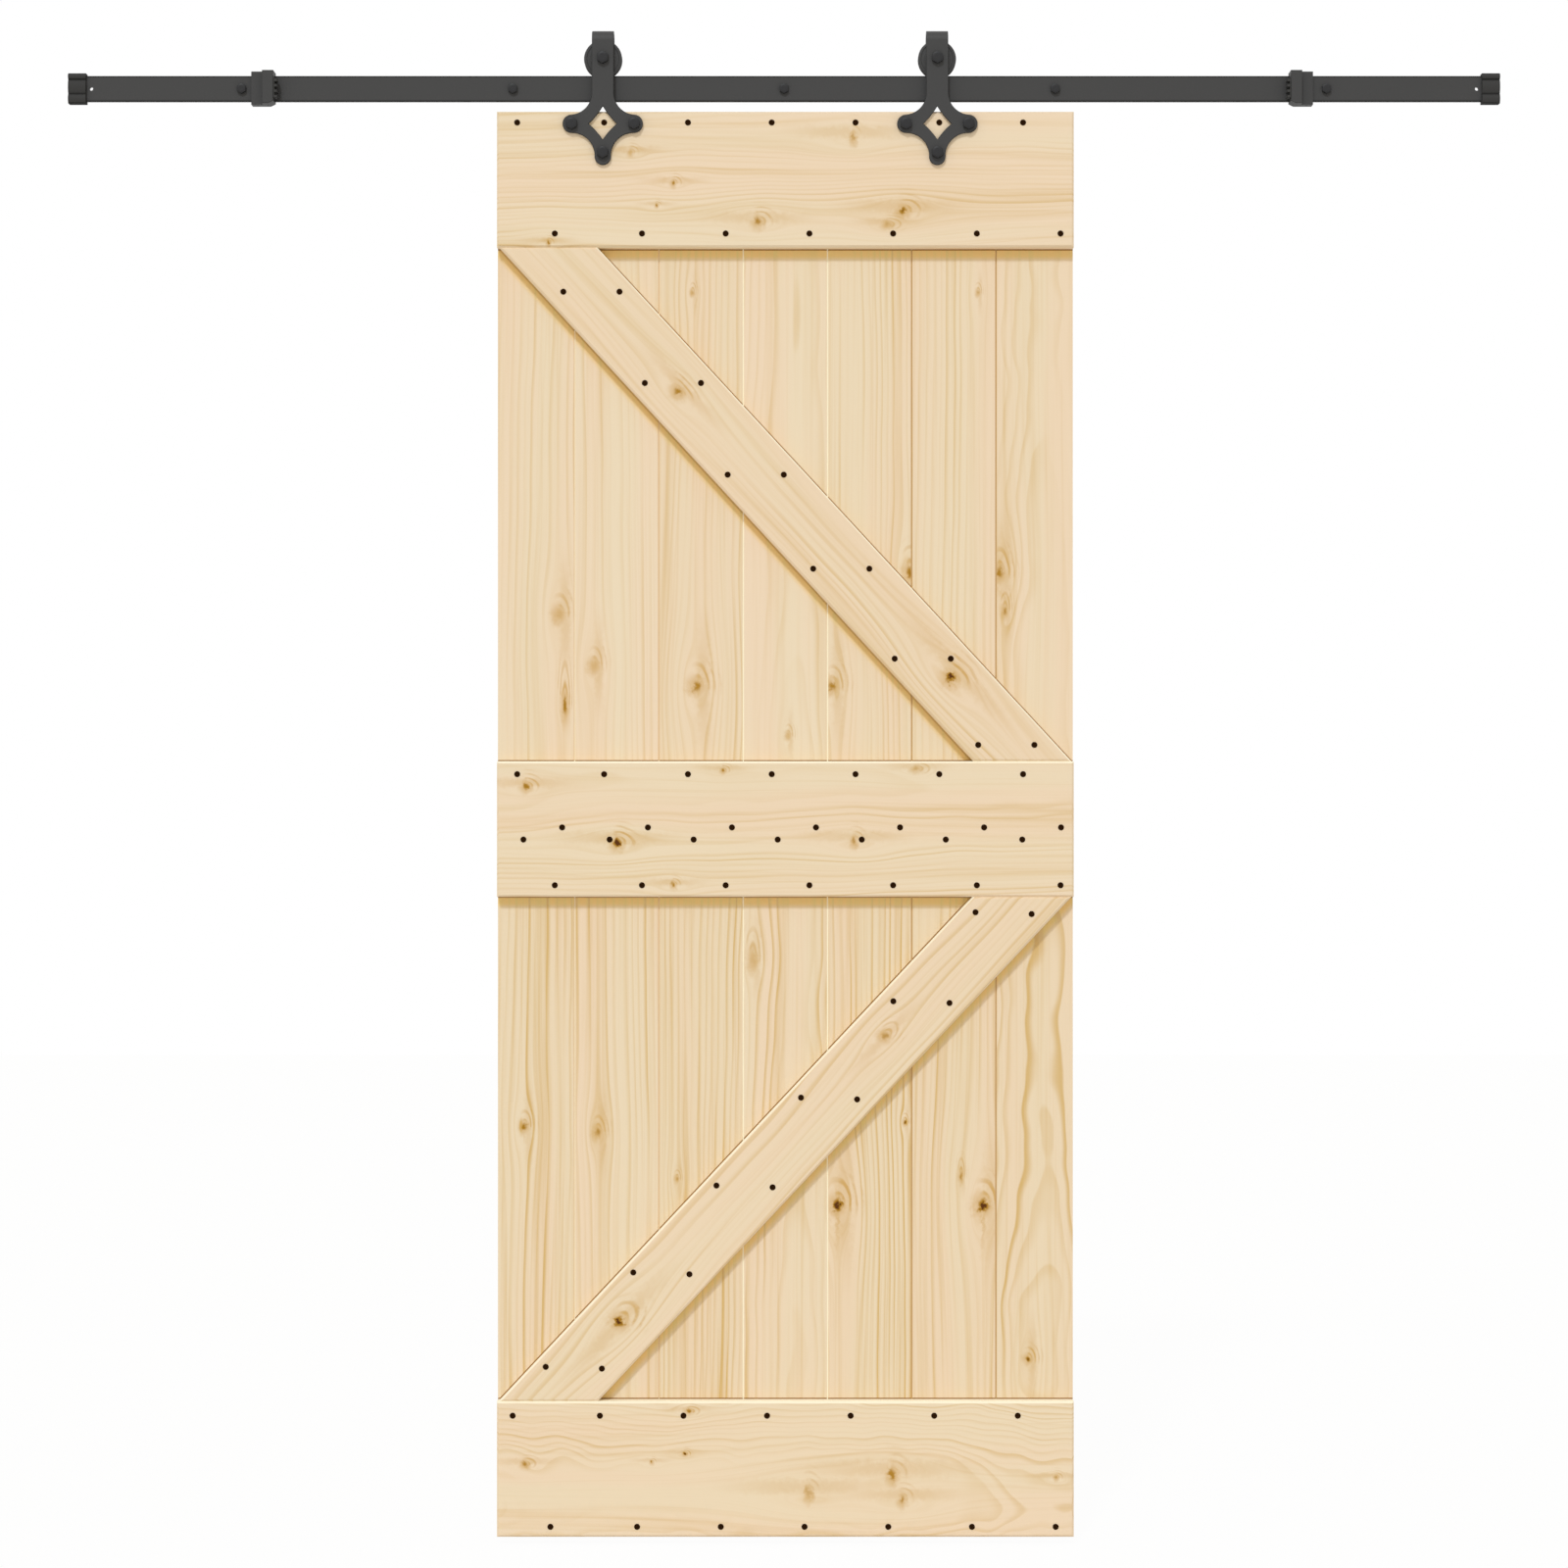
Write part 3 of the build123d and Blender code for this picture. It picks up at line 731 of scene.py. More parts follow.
def pine_material(node, lean, spec):
    """Pine for one piece, with its grain leaning this far from upright. Returns the material's name."""
    settings = bpy.context.scene.door_pine
    name = f"pine_{node}"
    graph, shader, coordinates = new_material(name)
    turn = Matrix.Rotation(lean, 3, "Y")
    back = turn.transposed()
    centre = node_middle(node)
    mapping = {"Vector": coordinates, "Location": centre, "Rotation": turn.to_euler()}
    local = graph.add("ShaderNodeMapping", mapping, vector_type="TEXTURE")

    masks = {"shift": 0.0, "heart": 0.0, "halo": 0.0, "curl": 0.0}
    for across, drop, radius, stretch, tail, dark in spec["knots"]:
        masks = graph.place(
            "Knot", vector=local, place=back @ (on_door(across, drop) - centre), side=back @ KNOT_SIDE,
            radius=radius * MM, stretch=stretch, tail=tail * MM, dark=dark, **masks
        )
    pith_x, pith_y, taper, spacing, wobble, waves, seed = spec["growth"]
    growth = graph.place(
        "Growth rings", vector=local, shift=masks.pop("shift"), pith=Vector((pith_x * MM, pith_y * MM, 0)),
        taper=taper, spacing=spacing * MM, wobble=wobble * MM, waves=waves, seed=seed
    )
    tone = spec["tone"]
    contrast = spec["contrast"]
    if "edges" in spec:
        low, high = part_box("middle_cross_rail")
        lower = graph.rise(graph.split(coordinates)[2], high.z, low.z)
        tone = lower * 0.05 + tone
        contrast = lower * 0.4 + contrast
    colours = {part: rgba(getattr(settings, part)) for part in ("warm", "cool", "late")}
    colours |= {f"{part}_colour": rgba(getattr(settings, part)) for part in ("halo", "heart", "core")}
    pine = graph.place("Pine", tone=tone, contrast=contrast, **growth, **masks, **colours)
    if "edges" in spec:
        pine["color"] = board_edges(graph, coordinates, node, spec, pine["color"])
    elif node != "top_cross_rail":
        # Painted highlight along the upper edge of the middle and bottom rails and the braces, in the colour of
        # the highlight joints
        width = settings.fresh_width
        outside_painted_highlight = cover_mask(graph, coordinates, node, width, 0.5 * width, -0.5, 0.0)
        pine["color"] = graph.mix(outside_painted_highlight, rgba(settings.bright_joint), pine["color"])
    dress(graph, shader, pine, 0.08, 0.15)
    return name


def board_edges(graph, coordinates, node, spec, colour_now):
    """Colours the joints beside a board, some with a painted highlight, and paints shade on its front along the
    rails and braces: a dark contact line at their edges and a warm shadow below them.
    """
    settings = bpy.context.scene.door_pine
    low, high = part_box(node)
    right = high.x - (0 if spec is BOARDS[-1] else TONGUE)
    near = graph.place("Joint edges", vector=coordinates, left=low.x, right=right, width=settings.joint_width)
    # Joint colours on each side: a painted highlight on the chamfer, a faint line or a dark line
    for side, tone in zip(near.values(), spec["edges"]):
        if tone:
            colour_now = graph.mix(side, colour_now, rgba(getattr(settings, f"{tone}_joint")))
    seam = stain = 0.0
    # Painted shadow: each rail's and brace's outline is moved down, as its cast shadow falls on the boards
    for cover in (*RAILS, *BRACES):
        drop, width = settings.stain_drop, settings.stain_width
        stain = cover_mask(graph, coordinates, cover, drop, width, -0.4, stain)
    # Painted contact shade along the braces, each as wide as its own share of the width
    for cover, brace in BRACES.items():
        seam = cover_mask(graph, coordinates, cover, 0, brace["seam"] * settings.seam_width, 0.5, seam)
    # The painted contact shade is weaker inside the painted shadow
    seam *= stain * -0.6 + 1.0
    # Painted contact shade along the rails
    for cover in RAILS:
        seam = cover_mask(graph, coordinates, cover, 0, settings.seam_width, 0.6, seam)
    on_front = graph.fall(graph.split(coordinates)[1] - low.y, 0.3 * MM, 0.8 * MM)
    # The painted shadow and then the painted contact shade go on the front face only
    colour_with_painted_shadow = graph.mix(stain * on_front, colour_now, rgba(settings.stain), "DARKEN")
    return graph.mix(seam * on_front, colour_with_painted_shadow, rgba(settings.seam))


def cover_mask(graph, coordinates, cover, drop, reach, start, mask):
    """1 inside the outline of a rail or brace, and 0 further than the reach from it.

    The outline is moved down by the drop and is a little longer than the piece, so that the mask leaves its
    ends alone.
    """
    size = node_size(cover)
    across = Vector((1, 0, 0))
    half_width = 0.51 * size.x
    half_height = 0.5 * size.z
    if cover in BRACES:
        across = Matrix.Rotation(brace_lean(cover), 3, "Y") @ across
        half_width = 0.5 * BRACE_WIDTH
        half_height = 0.51 * size.z
    return graph.place(
        "Cover edge", vector=coordinates, mask=mask, centre=node_middle(cover) - Vector((0, 0, drop)),
        across=across, half_width=half_width, half_height=half_height, reach=reach, start=start
    )["mask"]


def brace_lean(node):
    """How far a brace leans from upright, from its width and the corners that it joins."""
    size = node_size(node)
    lean = math.acos(BRACE_WIDTH / math.hypot(size.x, size.z)) - math.atan2(size.z, size.x)
    return -lean if node == "upper_brace" else lean


def coated_material(name, tone, grain=900.0, roughness=0.46, depth=0.03, specular=0.3):
    """A coated or moulded surface. Its tone is a colour, or a function that makes one from coordinates."""
    graph, shader, coordinates = new_material(name)
    tone = tone(graph, coordinates) if callable(tone) else rgba(tone)
    coat = graph.place(
        "Coating", vector=coordinates, colour=tone, grain=grain, roughness=roughness, contrast=COAT_CONTRAST
    )
    dress(graph, shader, coat, depth, specular)


def track_tone(graph, coordinates):
    """Powder coat with painted shade: a darker band along the track's upper and lower edge."""
    settings = bpy.context.scene.door_hardware
    half = node_size("track_rail").z / 2
    off = abs(graph.split(coordinates)[2] - node_middle("track_rail").z)
    # Painted shade along the upper and lower edge
    band = graph.rise(off, half - 1.4 * settings.edge_band, half - 0.8 * settings.edge_band)
    return graph.mix(band, rgba(settings.coat), rgba(settings.edge))


def cap_tone_with_painted_shade(graph, coordinates):
    """Rubber with painted shade: darker in the grooves of an end cap and along its outer edges."""
    settings = bpy.context.scene.door_hardware
    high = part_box("end_cap_right")[1]
    x, _, z = graph.split(coordinates)
    # Painted shade along the ends and the upper and lower edge
    ends = graph.rise(abs(x), high.x - 2 * MM, high.x - 1 * MM)
    mask = graph.either(ends, graph.rise(abs(z), high.z - 2.2 * MM, high.z - 1.2 * MM))
    # Painted shade in the two grooves
    for groove in CAP_GROOVES:
        mask = graph.either(mask, graph.fall(abs(z - groove), 0.4 * MM, 2.6 * MM))
    return graph.mix(mask, rgba(settings.rubber), rgba(settings.edge))


def make_hardware_materials():
    settings = bpy.context.scene.door_hardware
    fine = {"grain": 1400.0, "depth": 0.015}
    moulded = {"grain": 700.0, "depth": 0.04}
    coated_material("steel_coat", settings.coat)
    # Painted shade on the rounded edges of the hangers and stops
    coated_material("steel_edge", settings.edge)
    coated_material("track_coat", track_tone)
    coated_material("black_finish", settings.black, roughness=0.38, **fine)
    coated_material("screw_finish", settings.screw, roughness=0.75, specular=0.05, **fine)
    coated_material("rubber", settings.rubber, roughness=0.62, specular=0.2, **moulded)
    coated_material("cap_rubber", cap_tone_with_painted_shade, roughness=0.62, specular=0.2, **moulded)
    # Painted shade on the rounded edges of the end caps and bumpers
    coated_material("rubber_edge", settings.edge, roughness=0.7, specular=0.1, **moulded)
    graph, shader, coordinates = new_material("bearing_steel")
    marks = graph.place("Turning marks", vector=coordinates, colour=rgba(settings.bearing))
    dress(graph, shader, {**marks, "roughness": 0.32}, 0.01, 0.5)
    shader["Metallic"].default_value = 1.0


def paint_node(node, material):
    """Gives a CAD node a finished material by its name."""
    mesh = frame["nodes"][node].data
    mesh.materials.clear()
    mesh.materials.append(bpy.data.materials[material])


# What each pine piece looks like. A knot is its place from the centre line and from the door's top, its
# radius, how much longer than wide it is, the length of the stain below it, and how dark its heart is.
# Growth is where the pith lies, across and behind, then the taper, the spacing and the wobble of the rings,
# the waves that the wobble has in a metre, and a seed. Lengths are in millimetres.

# Edges give the joint colour on a board's left and right: a painted highlight, a faint line, a dark line or
# nothing.
BOARDS = [
    dict(knots=[(-334, 740, 8, 1.3, 0, 0.12), (-326, 874, 4, 5.0, 0, 0.6), (-386, 1497, 6, 1.3, 30, 0.6)],
         growth=(150, 60, 0.010, 9, 16, 2.6, 3.1), contrast=0.75, tone=0.03, edges=(None, "faint")),
    dict(knots=[(-283, 816, 7, 1.3, 0, 0.08), (-277, 1505, 6, 1.4, 0, 0.4)],
         growth=(-130, 40, 0.008, 11, 14, 2.6, 8.4), contrast=0.6, tone=0.0, edges=("bright", "faint")),
    dict(knots=[(-131, 846, 10, 1.1, 0, 0.5), (-137, 264, 3, 1.6, 0, 0.2), (-160, 1575, 3, 1.6, 0, 0.3)],
         growth=(140, 70, 0.012, 8, 18, 2.6, 14.7), contrast=0.9, tone=0.06, edges=("faint", "bright")),
    dict(knots=[(4, 919, 4, 1.4, 0, 0.05), (-48, 1250, 6, 2.5, 0, 0.1)],
         growth=(12, 62, 0.016, 7, 22, 3.2, 21.2), contrast=0.5, tone=0.0, edges=("bright", "bright")),
    dict(knots=[(69, 846, 9, 1.1, 0, 0.5), (184, 678, 8, 1.6, 0, 0.6), (77, 1614, 11, 1.2, 90, 1.0),
                (177, 1491, 3, 1.4, 0, 0.8)],
         growth=(-160, 45, 0.010, 8, 16, 2.6, 27.9), contrast=0.9, tone=0.05, edges=("bright", "dark")),
    dict(knots=[(285, 264, 3, 1.6, 0, 0.2), (260, 1571, 3, 3.0, 0, 0.4), (293, 1614, 11, 1.2, 90, 1.0)],
         growth=(170, 55, 0.009, 10, 18, 2.6, 33.5), contrast=0.7, tone=0.04, edges=("dark", "dark")),
    dict(knots=[(317, 678, 8, 1.5, 0, 0.5), (325, 735, 4, 2.2, 0, 0.4), (359, 1841, 6, 1.0, 0, 0.75)],
         growth=(10, 58, 0.020, 9, 34, 4.5, 41.6), contrast=0.7, tone=0.04, edges=("dark", None)),
]

RAILS = {
    "top_cross_rail": dict(
        knots=[(-165, 105, 5, 0.8, 0, 0.5), (-190, 138, 3, 0.8, 0, 0.5), (-41, 162, 8, 0.9, 0, 0.45),
               (173, 146, 9, 0.9, 0, 0.7), (150, 166, 5, 1.4, 0, 0.2), (99, 37, 9, 0.5, 0, 0.25),
               (-349, 193, 4, 0.7, 0, 0.6), (-228, 60, 5, 0.8, 0, 0.1)],
        growth=(-115, 50, 0.012, 6, 22, 4.0, 52.3), contrast=0.72, tone=0.01),
    "middle_cross_rail": dict(
        knots=[(-382, 994, 7, 0.9, 0, 0.6), (-92, 970, 4, 0.9, 0, 0.5), (-248, 1077, 9, 0.9, 0, 0.95),
               (192, 968, 5, 1.4, 0, 0.2), (101, 1074, 8, 0.6, 0, 0.35), (-165, 1139, 5, 0.7, 0, 0.5)],
        growth=(-60, 80, 0.014, 6, 22, 3.5, 61.8), contrast=0.75, tone=0.04),
    "bottom_cross_rail": dict(
        knots=[(-384, 1992, 5, 1.1, 0, 0.45), (-197, 1989, 3, 0.8, 0, 0.5), (-148, 1977, 3, 1.0, 0, 0.9),
               (-142, 1914, 4, 1.3, 0, 0.6), (34, 2034, 11, 0.5, 0, 0.2), (157, 2008, 12, 0.6, 0, 0.5),
               (172, 2044, 9, 0.6, 0, 0.4), (399, 2012, 4, 0.8, 0, 0.3)],
        growth=(40, 75, 0.020, 6, 44, 6.0, 74.1), contrast=0.8, tone=0.04),
}

# The last value of each brace scales the width of the painted contact shade along it
BRACES = {
    "upper_brace": dict(
        knots=[(-158, 413, 8, 1.2, 0, 0.5), (244, 834, 11, 1.0, 0, 0.95)],
        growth=(70, 60, 0.012, 8, 18, 2.6, 83.7), contrast=0.7, tone=0.07, seam=1.5),
    "lower_brace": dict(
        knots=[(146, 1362, 7, 1.2, 0, 0.35), (-245, 1782, 11, 1.0, 0, 0.95)],
        growth=(-80, 60, 0.012, 8, 18, 2.6, 95.2), contrast=0.65, tone=0.06, seam=1.0),
}

# Rows of wood screws on the rails: the drop from the door's top, the place of the first from the centre line,
# the pitch and the count. Lengths are in millimetres.

SCREW_ROWS = [
    (16.3, -395.0, 0, 1), (16.3, -266.9, 123.4, 6),
    (179.8, -339.6, 0, 1), (179.8, -211.2, 123.3, 6),
    (976.1, -395.0, 0, 1), (976.1, -266.9, 123.4, 6),
    (1054.5, -328.8, 126.3, 2), (1054.5, -78.7, 123.8, 4), (1054.5, 406.0, 0, 1),
    (1072.4, -385.8, 127.0, 2), (1072.4, -135.1, 123.8, 4), (1072.4, 348.9, 0, 1),
    (1139.7, -339.6, 0, 1), (1139.7, -211.2, 123.3, 6),
    (1921.0, -401.7, 0, 1), (1921.0, -273.2, 123.1, 6),
    (2084.6, -346.1, 0, 1), (2084.6, -218.4, 123.3, 6),
]

# Pairs of wood screws on the braces, listed one by one: the left screw of each pair from the centre line
# and from the door's top, and the way from the left to the right screw.

BRACE_SCREWS = [
    ([(-327, 265.5), (-207, 400), (-85, 535), (41, 673.5), (161, 806), (284, 933)], (82.7, 0.0)),
    ([(-353, 1849), (-224, 1710), (-101.5, 1582), (23, 1452.5), (159, 1310.5), (280, 1179.5)], (82.7, 2.6)),
]


class PLANKDOOR_OT_materials(bpy.types.Operator):
    """Builds the shared shader groups and the hardware's materials"""

    bl_idname = "plankdoor.materials"
    bl_label = "Materials"

    def execute(self, context):
        for build in (
            knot_group, growth_group, pine_group, joint_group, cover_group, coating_group, turning_group
        ):
            build()
        make_hardware_materials()
        return {"FINISHED"}


class PLANKDOOR_OT_boards(bpy.types.Operator):
    """Gives each board its own pine, with upright grain"""

    bl_idname = "plankdoor.boards"
    bl_label = "Boards"

    def execute(self, context):
        for number, spec in enumerate(BOARDS, 1):
            paint_node(f"board_{number}", pine_material(f"board_{number}", 0.0, spec))
        return {"FINISHED"}


class PLANKDOOR_OT_rails(bpy.types.Operator):
    """Gives the cross rails pine with level grain, and the braces grain along their length"""

    bl_idname = "plankdoor.rails"
    bl_label = "Rails and braces"

    def execute(self, context):
        for node, spec in RAILS.items():
            paint_node(node, pine_material(node, TURN / 4, spec))
        for node, spec in BRACES.items():
            paint_node(node, pine_material(node, brace_lean(node), spec))
        return {"FINISHED"}


class PLANKDOOR_OT_wood_screws(bpy.types.Operator):
    """Sets the small dark screws into the rails and braces"""

    bl_idname = "plankdoor.wood_screws"
    bl_label = "Wood screws"

    def execute(self, context):
        settings = context.scene.door_wood_screws
        places = [
            (first + pitch * step, drop)
            for drop, first, pitch, count in SCREW_ROWS
            for step in range(count)
        ]
        for pairs, (aside, down) in BRACE_SCREWS:
            places += [(across + aside * i, drop + down * i) for across, drop in pairs for i in (0, 1)]
        centres = [(p.x, 0, p.z) for p in (on_door(across, drop) for across, drop in places)]
        turns = np.random.default_rng(settings.seed).uniform(0, TURN, len(centres))
        points = wood_screws(settings, centres, turns)
        grid_piece("wood_screws", points, "door", "black_fasteners", "screw_finish")
        return {"FINISHED"}


def wood_screws(settings, centres, turns):
    """Low domed heads with a cross recess.

    The height is the rise times 1 - 0.4 r r, with r from 0 to 1 at the rim. Inside the arms of the cross it
    is lower by the recess depth, which fades towards the ends of the arms.
    """
    columns = 24
    rim = settings.head_width / 2
    angle = np.arange(columns)[None] * TURN / columns
    share = np.array([0, 0.13, 0.26, 0.36, 0.46, 0.55, 0.62, 0.8, 0.93, 1.0])[:, None]
    radius = share * rim
    height = settings.head_rise * (1 - 0.4 * share**2) + 0 * angle
    height[-1] -= 0.12 * settings.head_rise
    aside = radius * np.minimum(np.abs(np.sin(angle)), np.abs(np.cos(angle)))
    ahead = radius * np.maximum(np.abs(np.sin(angle)), np.abs(np.cos(angle)))
    inside = (aside < settings.recess_width / 2) & (ahead < settings.recess_length)
    height -= np.where(inside, settings.recess_depth * (1 - 0.6 * ahead / settings.recess_length), 0)
    radii = np.vstack([radius + 0 * angle, np.full((2, columns), rim), np.zeros((1, columns))])
    below = [0.1 * settings.head_rise, -0.3 * settings.head_rise, -0.3 * settings.head_rise]
    depths = np.vstack([height, np.repeat(np.array(below)[:, None], columns, 1)])
    return turned(centres, radii, depths - DOOR_FRONT, turns)


class PLANKDOOR_OT_track(bpy.types.Operator):
    """Finishes the flat track, its spacers and its lag screws"""

    bl_idname = "plankdoor.track"
    bl_label = "Track"

    def execute(self, context):
        threads = context.scene.door_threads
        paint_node("track_rail", "track_coat")
        paint_node("wall_spacers", "steel_coat")
        low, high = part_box("lag_screws")
        seat = -TRACK_FRONT
        width = (high.z - low.z) * math.cos(TURN / 12)
        outline = joined(
            hexagon_head(width, -low.y - seat, seat),
            stations((LAG_SHANK, seat), (LAG_SHANK, LAG_START)),
            thread(threads.lag_root, LAG_CREST, 0, -high.y, threads.lag_pitch, threads.lag_point),
        )
        spread = (high.x - low.x - width) / 4
        centres = [((number - 2) * spread, 0, 0) for number in range(5)]
        points = turned(centres, *outline)
        grid_piece("lag_screws_threaded", points, "track", "black_fasteners", "black_finish", "lag_screws")
        return {"FINISHED"}


def ease_pairs(slot, ending, rounding, **looks):
    """Rounds nodes that come as a left and a right one. A stem goes with the names of its two materials."""
    for side in SIDES:
        for stem, materials in looks.items():
            eased_copy(f"{stem}_{side}", f"{stem}_{side}_{ending}", materials, rounding)


class PLANKDOOR_OT_rubber(bpy.types.Operator):
    """Rounds the moulded edges of the end caps and bumpers"""

    bl_idname = "plankdoor.rubber"
    bl_label = "Rubber parts"

    def execute(self, context):
        rounding = context.scene.door_hardware.rubber_round
        ease_pairs(
            "rubber", "moulded", rounding,
            end_cap=("cap_rubber", "rubber_edge"), stop_bumper=("rubber", "rubber_edge")
        )
        return {"FINISHED"}


class PLANKDOOR_OT_stops(bpy.types.Operator):
    """Rounds the edges of the stops and finishes their grub screws"""

    bl_idname = "plankdoor.stops"
    bl_label = "Stops"

    def execute(self, context):
        rounding = context.scene.door_hardware.edge_round
        ease_pairs("coated_steel", "eased", rounding, stop=("steel_coat", "steel_edge"))
        paint_node("stop_grub_screws", "black_finish")
        return {"FINISHED"}


class PLANKDOOR_OT_hangers(bpy.types.Operator):
    """Rounds the cut edges of the bent hangers"""

    bl_idname = "plankdoor.hangers"
    bl_label = "Hangers"

    def execute(self, context):
        rounding = context.scene.door_hardware.edge_round
        ease_pairs("coated_steel", "eased", rounding, hanger=("steel_coat", "steel_edge"))
        return {"FINISHED"}


class PLANKDOOR_OT_bolts(bpy.types.Operator):
    """Builds the hexagon bolts and nuts, with chamfered corners and a thread where it shows"""

    bl_idname = "plankdoor.bolts"
    bl_label = "Bolts and nuts"

    def execute(self, context):
        threads = context.scene.door_threads
        seat = -STRAP_FRONT
        low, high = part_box("axle_bolts")
        head = -low.y - seat
        width = (high.x - low.x) - (AXLES[1].x - AXLES[0].x)
        nut_low, nut_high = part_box("axle_nuts")
        root = SHANK - threads.bolt_depth
        bolt = joined(
            hexagon_head(width, head, seat),
            stations((SHANK, seat), (SHANK, -nut_low.y)),
            thread(root, SHANK, -nut_low.y, -high.y + CHAMFER, threads.bolt_pitch),
            stations((root, -high.y), (0, -high.y)),
        )
        axles = [(axle.x, 0, axle.z) for axle in AXLES]
        looks = ("door", "black_fasteners", "black_finish")
        grid_piece("axle_bolts_threaded", turned(axles, *bolt), *looks, "axle_bolts")
        nut = hexagon_nut(width, SHANK, nut_low.y, nut_high.y)
        grid_piece("axle_nuts_chamfered", turned(axles, *nut), *looks, "axle_nuts", ring=True)

        end = -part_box("hanger_bolts")[1].y
        lobe = (node_size("hanger_left").x / 2) - LOBE_INSET
        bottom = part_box("hanger_left")[0].z
        offsets = ((-lobe, bottom + LOBE_HEIGHT), (lobe, bottom + LOBE_HEIGHT), (0, bottom + TAIL_HEIGHT))
        places = [(node_middle(f"hanger_{side}").x + dx, 0, z) for side in SIDES for dx, z in offsets]
        bolt = joined(
            hexagon_head(width, head, seat),
            stations((SHANK, seat), (SHANK, end + CHAMFER), (0.85 * SHANK, end), (0, end)),
        )
        grid_piece("hanger_bolts_chamfered", turned(places, *bolt), *looks, "hanger_bolts")
        paint_node("sleeve_nuts", "black_finish")
        return {"FINISHED"}


def hexagon_nut(width, bore, front, back):
    """Rows of a nut as a closed ring: bore, countersinks, faces, 30 degree corner cuts and flats."""
    flat = 0.92 * width / 2
    outline = hexagon(width)
    cut = (outline - flat) * CORNER_SLOPE
    near, far = -front, -back
    return around([
        (bore, near - CHAMFER), (bore + CHAMFER, near), (flat, near), (outline, near - cut),
        (outline, far + cut), (flat, far), (bore + CHAMFER, far), (bore, far + CHAMFER),
    ])


class PLANKDOOR_OT_wheels(bpy.types.Operator):
    """Builds the turned wheels, and finishes their bearings and bushes"""

    bl_idname = "plankdoor.wheels"
    bl_label = "Wheels"

    def execute(self, context):
        for side, axle in zip(SIDES, AXLES):
            body = f"roller_{side}"
            centre = (axle.x, 0, axle.z)
            node = f"wheel_{side}"
            wheel = turned([centre], *wheel_outline(side))
            grid_piece(f"{node}_turned", wheel, body, "coated_steel", "steel_coat", node, ring=True)
            seals = turned([centre] * 2, *seal_outline(side))
            grid_piece(f"bearing_seals_{side}", seals, body, "rubber", "rubber", ring=True)
            paint_node(f"bearing_outer_ring_{side}", "bearing_steel")
        paint_node("bearing_inner_rings", "bearing_steel")
        paint_node("axle_bushes", "bearing_steel")
        return {"FINISHED"}


def wheel_outline(side):
    """Rows of a grooved wheel as a closed ring.

    They run from the bore over the hub ring, the hollowed web and the rim to the groove between the flanges.
    """
    low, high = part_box(f"wheel_{side}")
    middle = -(low.y + high.y) / 2
    half = (high.y - low.y) / 2
    rim = (high.z - low.z) / 2
    bore = node_size(f"bearing_outer_ring_{side}").z / 2 + 0.02 * MM
    groove = 4 * MM
    tread = rim - groove
    lip = groove + 1.2 * MM
    front_half = [
        (bore, half - 0.5 * MM), (bore + 0.5 * MM, half), (bore + 3.2 * MM, half - 0.3 * MM),
        (bore + 4.0 * MM, half - 1.3 * MM), (rim - 4.6 * MM, half - 1.9 * MM),
        (rim - 3.9 * MM, half - 1.25 * MM), (rim - 2.3 * MM, half - 1.3 * MM),
        (rim - 0.7 * MM, half - 2.1 * MM), (rim, half - 2.9 * MM),
        (rim, lip + 0.3 * MM), (rim - 0.3 * MM, lip), (tread + 0.4 * MM, groove + 0.1 * MM),
        (tread, groove - 0.4 * MM),
    ]
    back_half = [(radius, -offset) for radius, offset in reversed(front_half)]
    radii, offsets = stations(*front_half, *back_half)
    columns = 96
    return np.repeat(radii, columns, 1), np.repeat(offsets + middle, columns, 1)


def seal_outline(side):
    """Rows of the two thin rubber rings that close a bearing, a little proud of its faces."""
    low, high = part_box(f"bearing_outer_ring_{side}")
    inner = 8.3 * MM
    outer = (high.z - low.z) / 2 - 1.8 * MM
    rows = [
        (inner, 0), (inner, 0.25 * MM), (inner + 0.3 * MM, 0.4 * MM), ((inner + outer) / 2, 0.25 * MM),
        (outer - 0.3 * MM, 0.4 * MM), (outer, 0.25 * MM), (outer, 0),
    ]
    radii, rises = stations(*rows)
    columns = 64
    depths = np.stack([-low.y + rises, -high.y - rises])
    return np.repeat(radii, columns, 1)[None], np.repeat(depths, columns, 2)


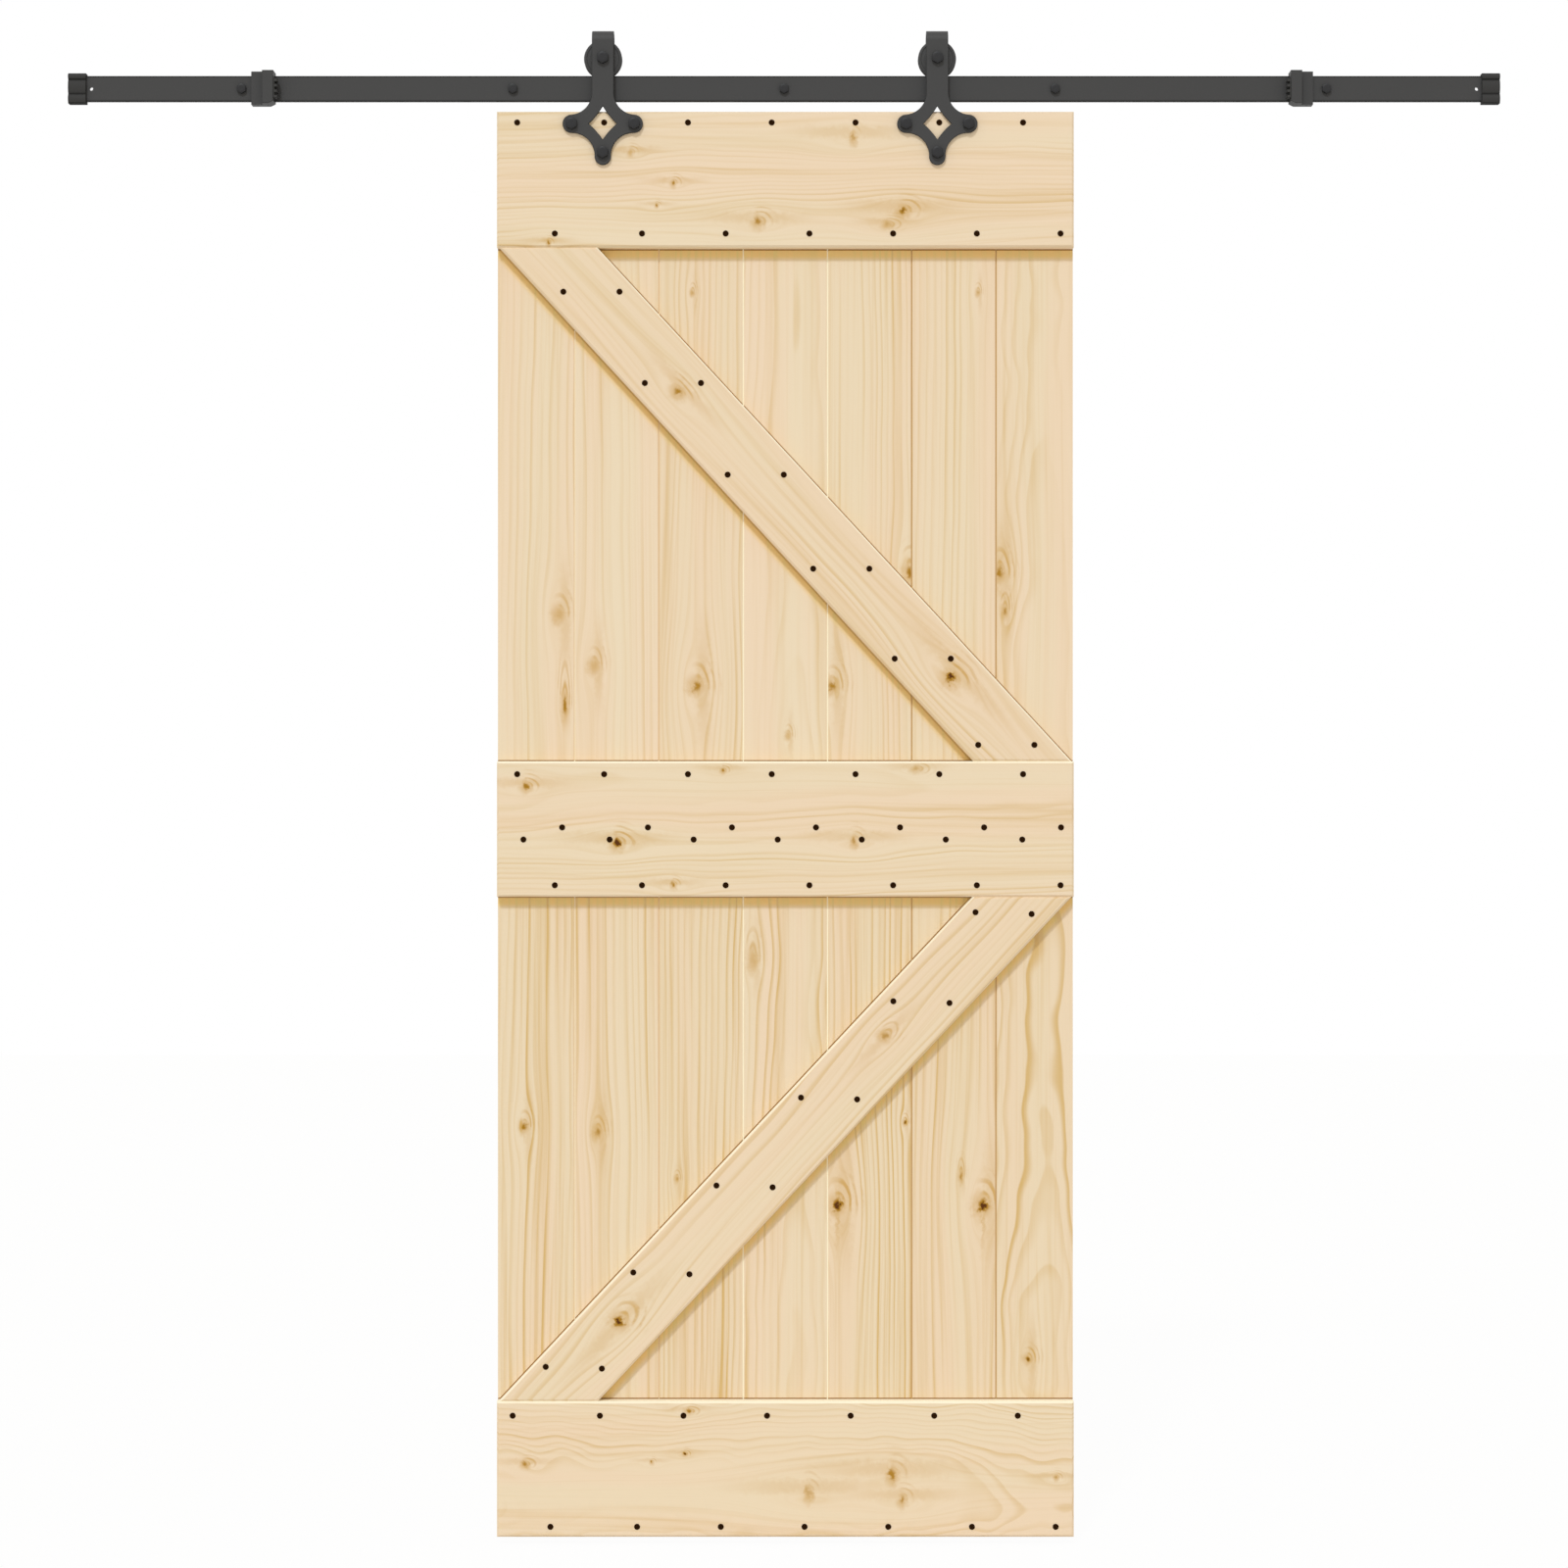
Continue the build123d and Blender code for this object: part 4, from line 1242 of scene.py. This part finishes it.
class PLANKDOOR_OT_stage(bpy.types.Operator):
    """Sets the camera, the light and the white floor"""

    bl_idname = "plankdoor.stage"
    bl_label = "Camera, light and floor"

    def execute(self, context):
        settings = context.scene.door_stage
        scene = context.scene
        scene.view_settings.view_transform = "Standard"

        camera = bpy.data.cameras.new("camera")
        camera.sensor_width = 36.0
        camera.lens = camera.sensor_width * settings.camera_distance / settings.frame_height
        camera.clip_end = 100.0
        viewpoint = bpy.data.objects.new("camera", camera)
        viewpoint.location = (0, DOOR_FRONT - settings.camera_distance, -settings.frame_middle)
        viewpoint.rotation_euler = (TURN / 4, 0, 0)
        scene.collection.objects.link(viewpoint)
        scene.camera = viewpoint

        sun = bpy.data.lights.new("sun", "SUN")
        sun.energy = settings.sun
        sun.color = settings.sun_colour
        sun.angle = settings.sun_spread
        lamp = bpy.data.objects.new("sun", sun)
        lamp.rotation_euler = Vector((5, 20, -20.5)).to_track_quat("-Z", "Y").to_euler()
        scene.collection.objects.link(lamp)

        world = bpy.data.worlds.new("studio")
        graph = new_tree(world)
        colour_now = rgba(settings.fill_colour)
        fill = graph.add("ShaderNodeBackground", {"Color": colour_now, "Strength": settings.fill})
        white = graph.add("ShaderNodeBackground", {"Color": WHITE, "Strength": 1.0})
        show(graph, "ShaderNodeOutputWorld", background_share(graph), fill, white)
        scene.world = world

        mesh = bpy.data.meshes.new("floor")
        half = FLOOR_REACH
        corners = [(-half, -half), (half, -half), (half, half), (-half, half)]
        height = DOOR_BOTTOM - settings.floor_gap
        mesh.from_pydata([(x, y, height) for x, y in corners], [], [(0, 1, 2, 3)])
        mesh.materials.append(floor_material())
        floor = bpy.data.objects.new("floor", mesh)
        scene.collection.objects.link(floor)
        return {"FINISHED"}


def background_share(graph):
    """1 for what the camera sees, directly, in gloss or through glass, and 0 for other light."""
    path = graph.node("ShaderNodeLightPath").outputs
    kinds = ("Camera", "Glossy", "Transmission")
    direct, gloss, glass = (Value(graph, path[f"Is {kind} Ray"]) for kind in kinds)
    return graph.math("ADD", direct + gloss, glass, clamp=True)


def show(graph, output, share, first, second):
    """Ends a material or world with a mix of two shaders."""
    graph.node(output, {"Surface": graph.add("ShaderNodeMixShader", {0: share, 1: first, 2: second})})


def floor_material():
    """A pale floor that shows nearly white and keeps a faint shadow of the door."""
    material = bpy.data.materials.new("floor")
    graph = new_tree(material)
    plain = graph.add("ShaderNodeBsdfDiffuse", {"Color": (0.85, 0.85, 0.85, 1)})
    glow = graph.add("ShaderNodeEmission", {"Color": WHITE, "Strength": 1.0})
    show(graph, "ShaderNodeOutputMaterial", background_share(graph) * 0.96, plain, glow)
    return material


OPERATORS = (
    PLANKDOOR_OT_materials,
    PLANKDOOR_OT_boards,
    PLANKDOOR_OT_rails,
    PLANKDOOR_OT_wood_screws,
    PLANKDOOR_OT_track,
    PLANKDOOR_OT_rubber,
    PLANKDOOR_OT_stops,
    PLANKDOOR_OT_hangers,
    PLANKDOOR_OT_bolts,
    PLANKDOOR_OT_wheels,
    PLANKDOOR_OT_stage,
)


class PLANKDOOR_PT_panel(bpy.types.Panel):
    """Lists the settings and the steps"""

    bl_idname = "PLANKDOOR_PT_panel"
    bl_label = "Plank door"
    bl_space_type = "VIEW_3D"
    bl_region_type = "UI"
    bl_category = "Plank door"

    def draw(self, context):
        for name, settings in SETTINGS.items():
            box = self.layout.box()
            for setting in settings.__annotations__:
                box.prop(getattr(context.scene, name), setting)
        for operator in OPERATORS:
            self.layout.operator(operator.bl_idname)


def register():
    for settings in SETTINGS.values():
        bpy.utils.register_class(settings)
    for name, settings in SETTINGS.items():
        setattr(bpy.types.Scene, name, PointerProperty(type=settings))
    for operator in OPERATORS:
        bpy.utils.register_class(operator)
    bpy.utils.register_class(PLANKDOOR_PT_panel)


def unregister():
    bpy.utils.unregister_class(PLANKDOOR_PT_panel)
    for operator in reversed(OPERATORS):
        bpy.utils.unregister_class(operator)
    for name, settings in SETTINGS.items():
        delattr(bpy.types.Scene, name)
        bpy.utils.unregister_class(settings)


def main():
    """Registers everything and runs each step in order."""
    register()
    for operator in OPERATORS:
        step = operator.bl_idname.split(".")[1]
        getattr(bpy.ops.plankdoor, step)()


if __name__ == "__main__":
    main()
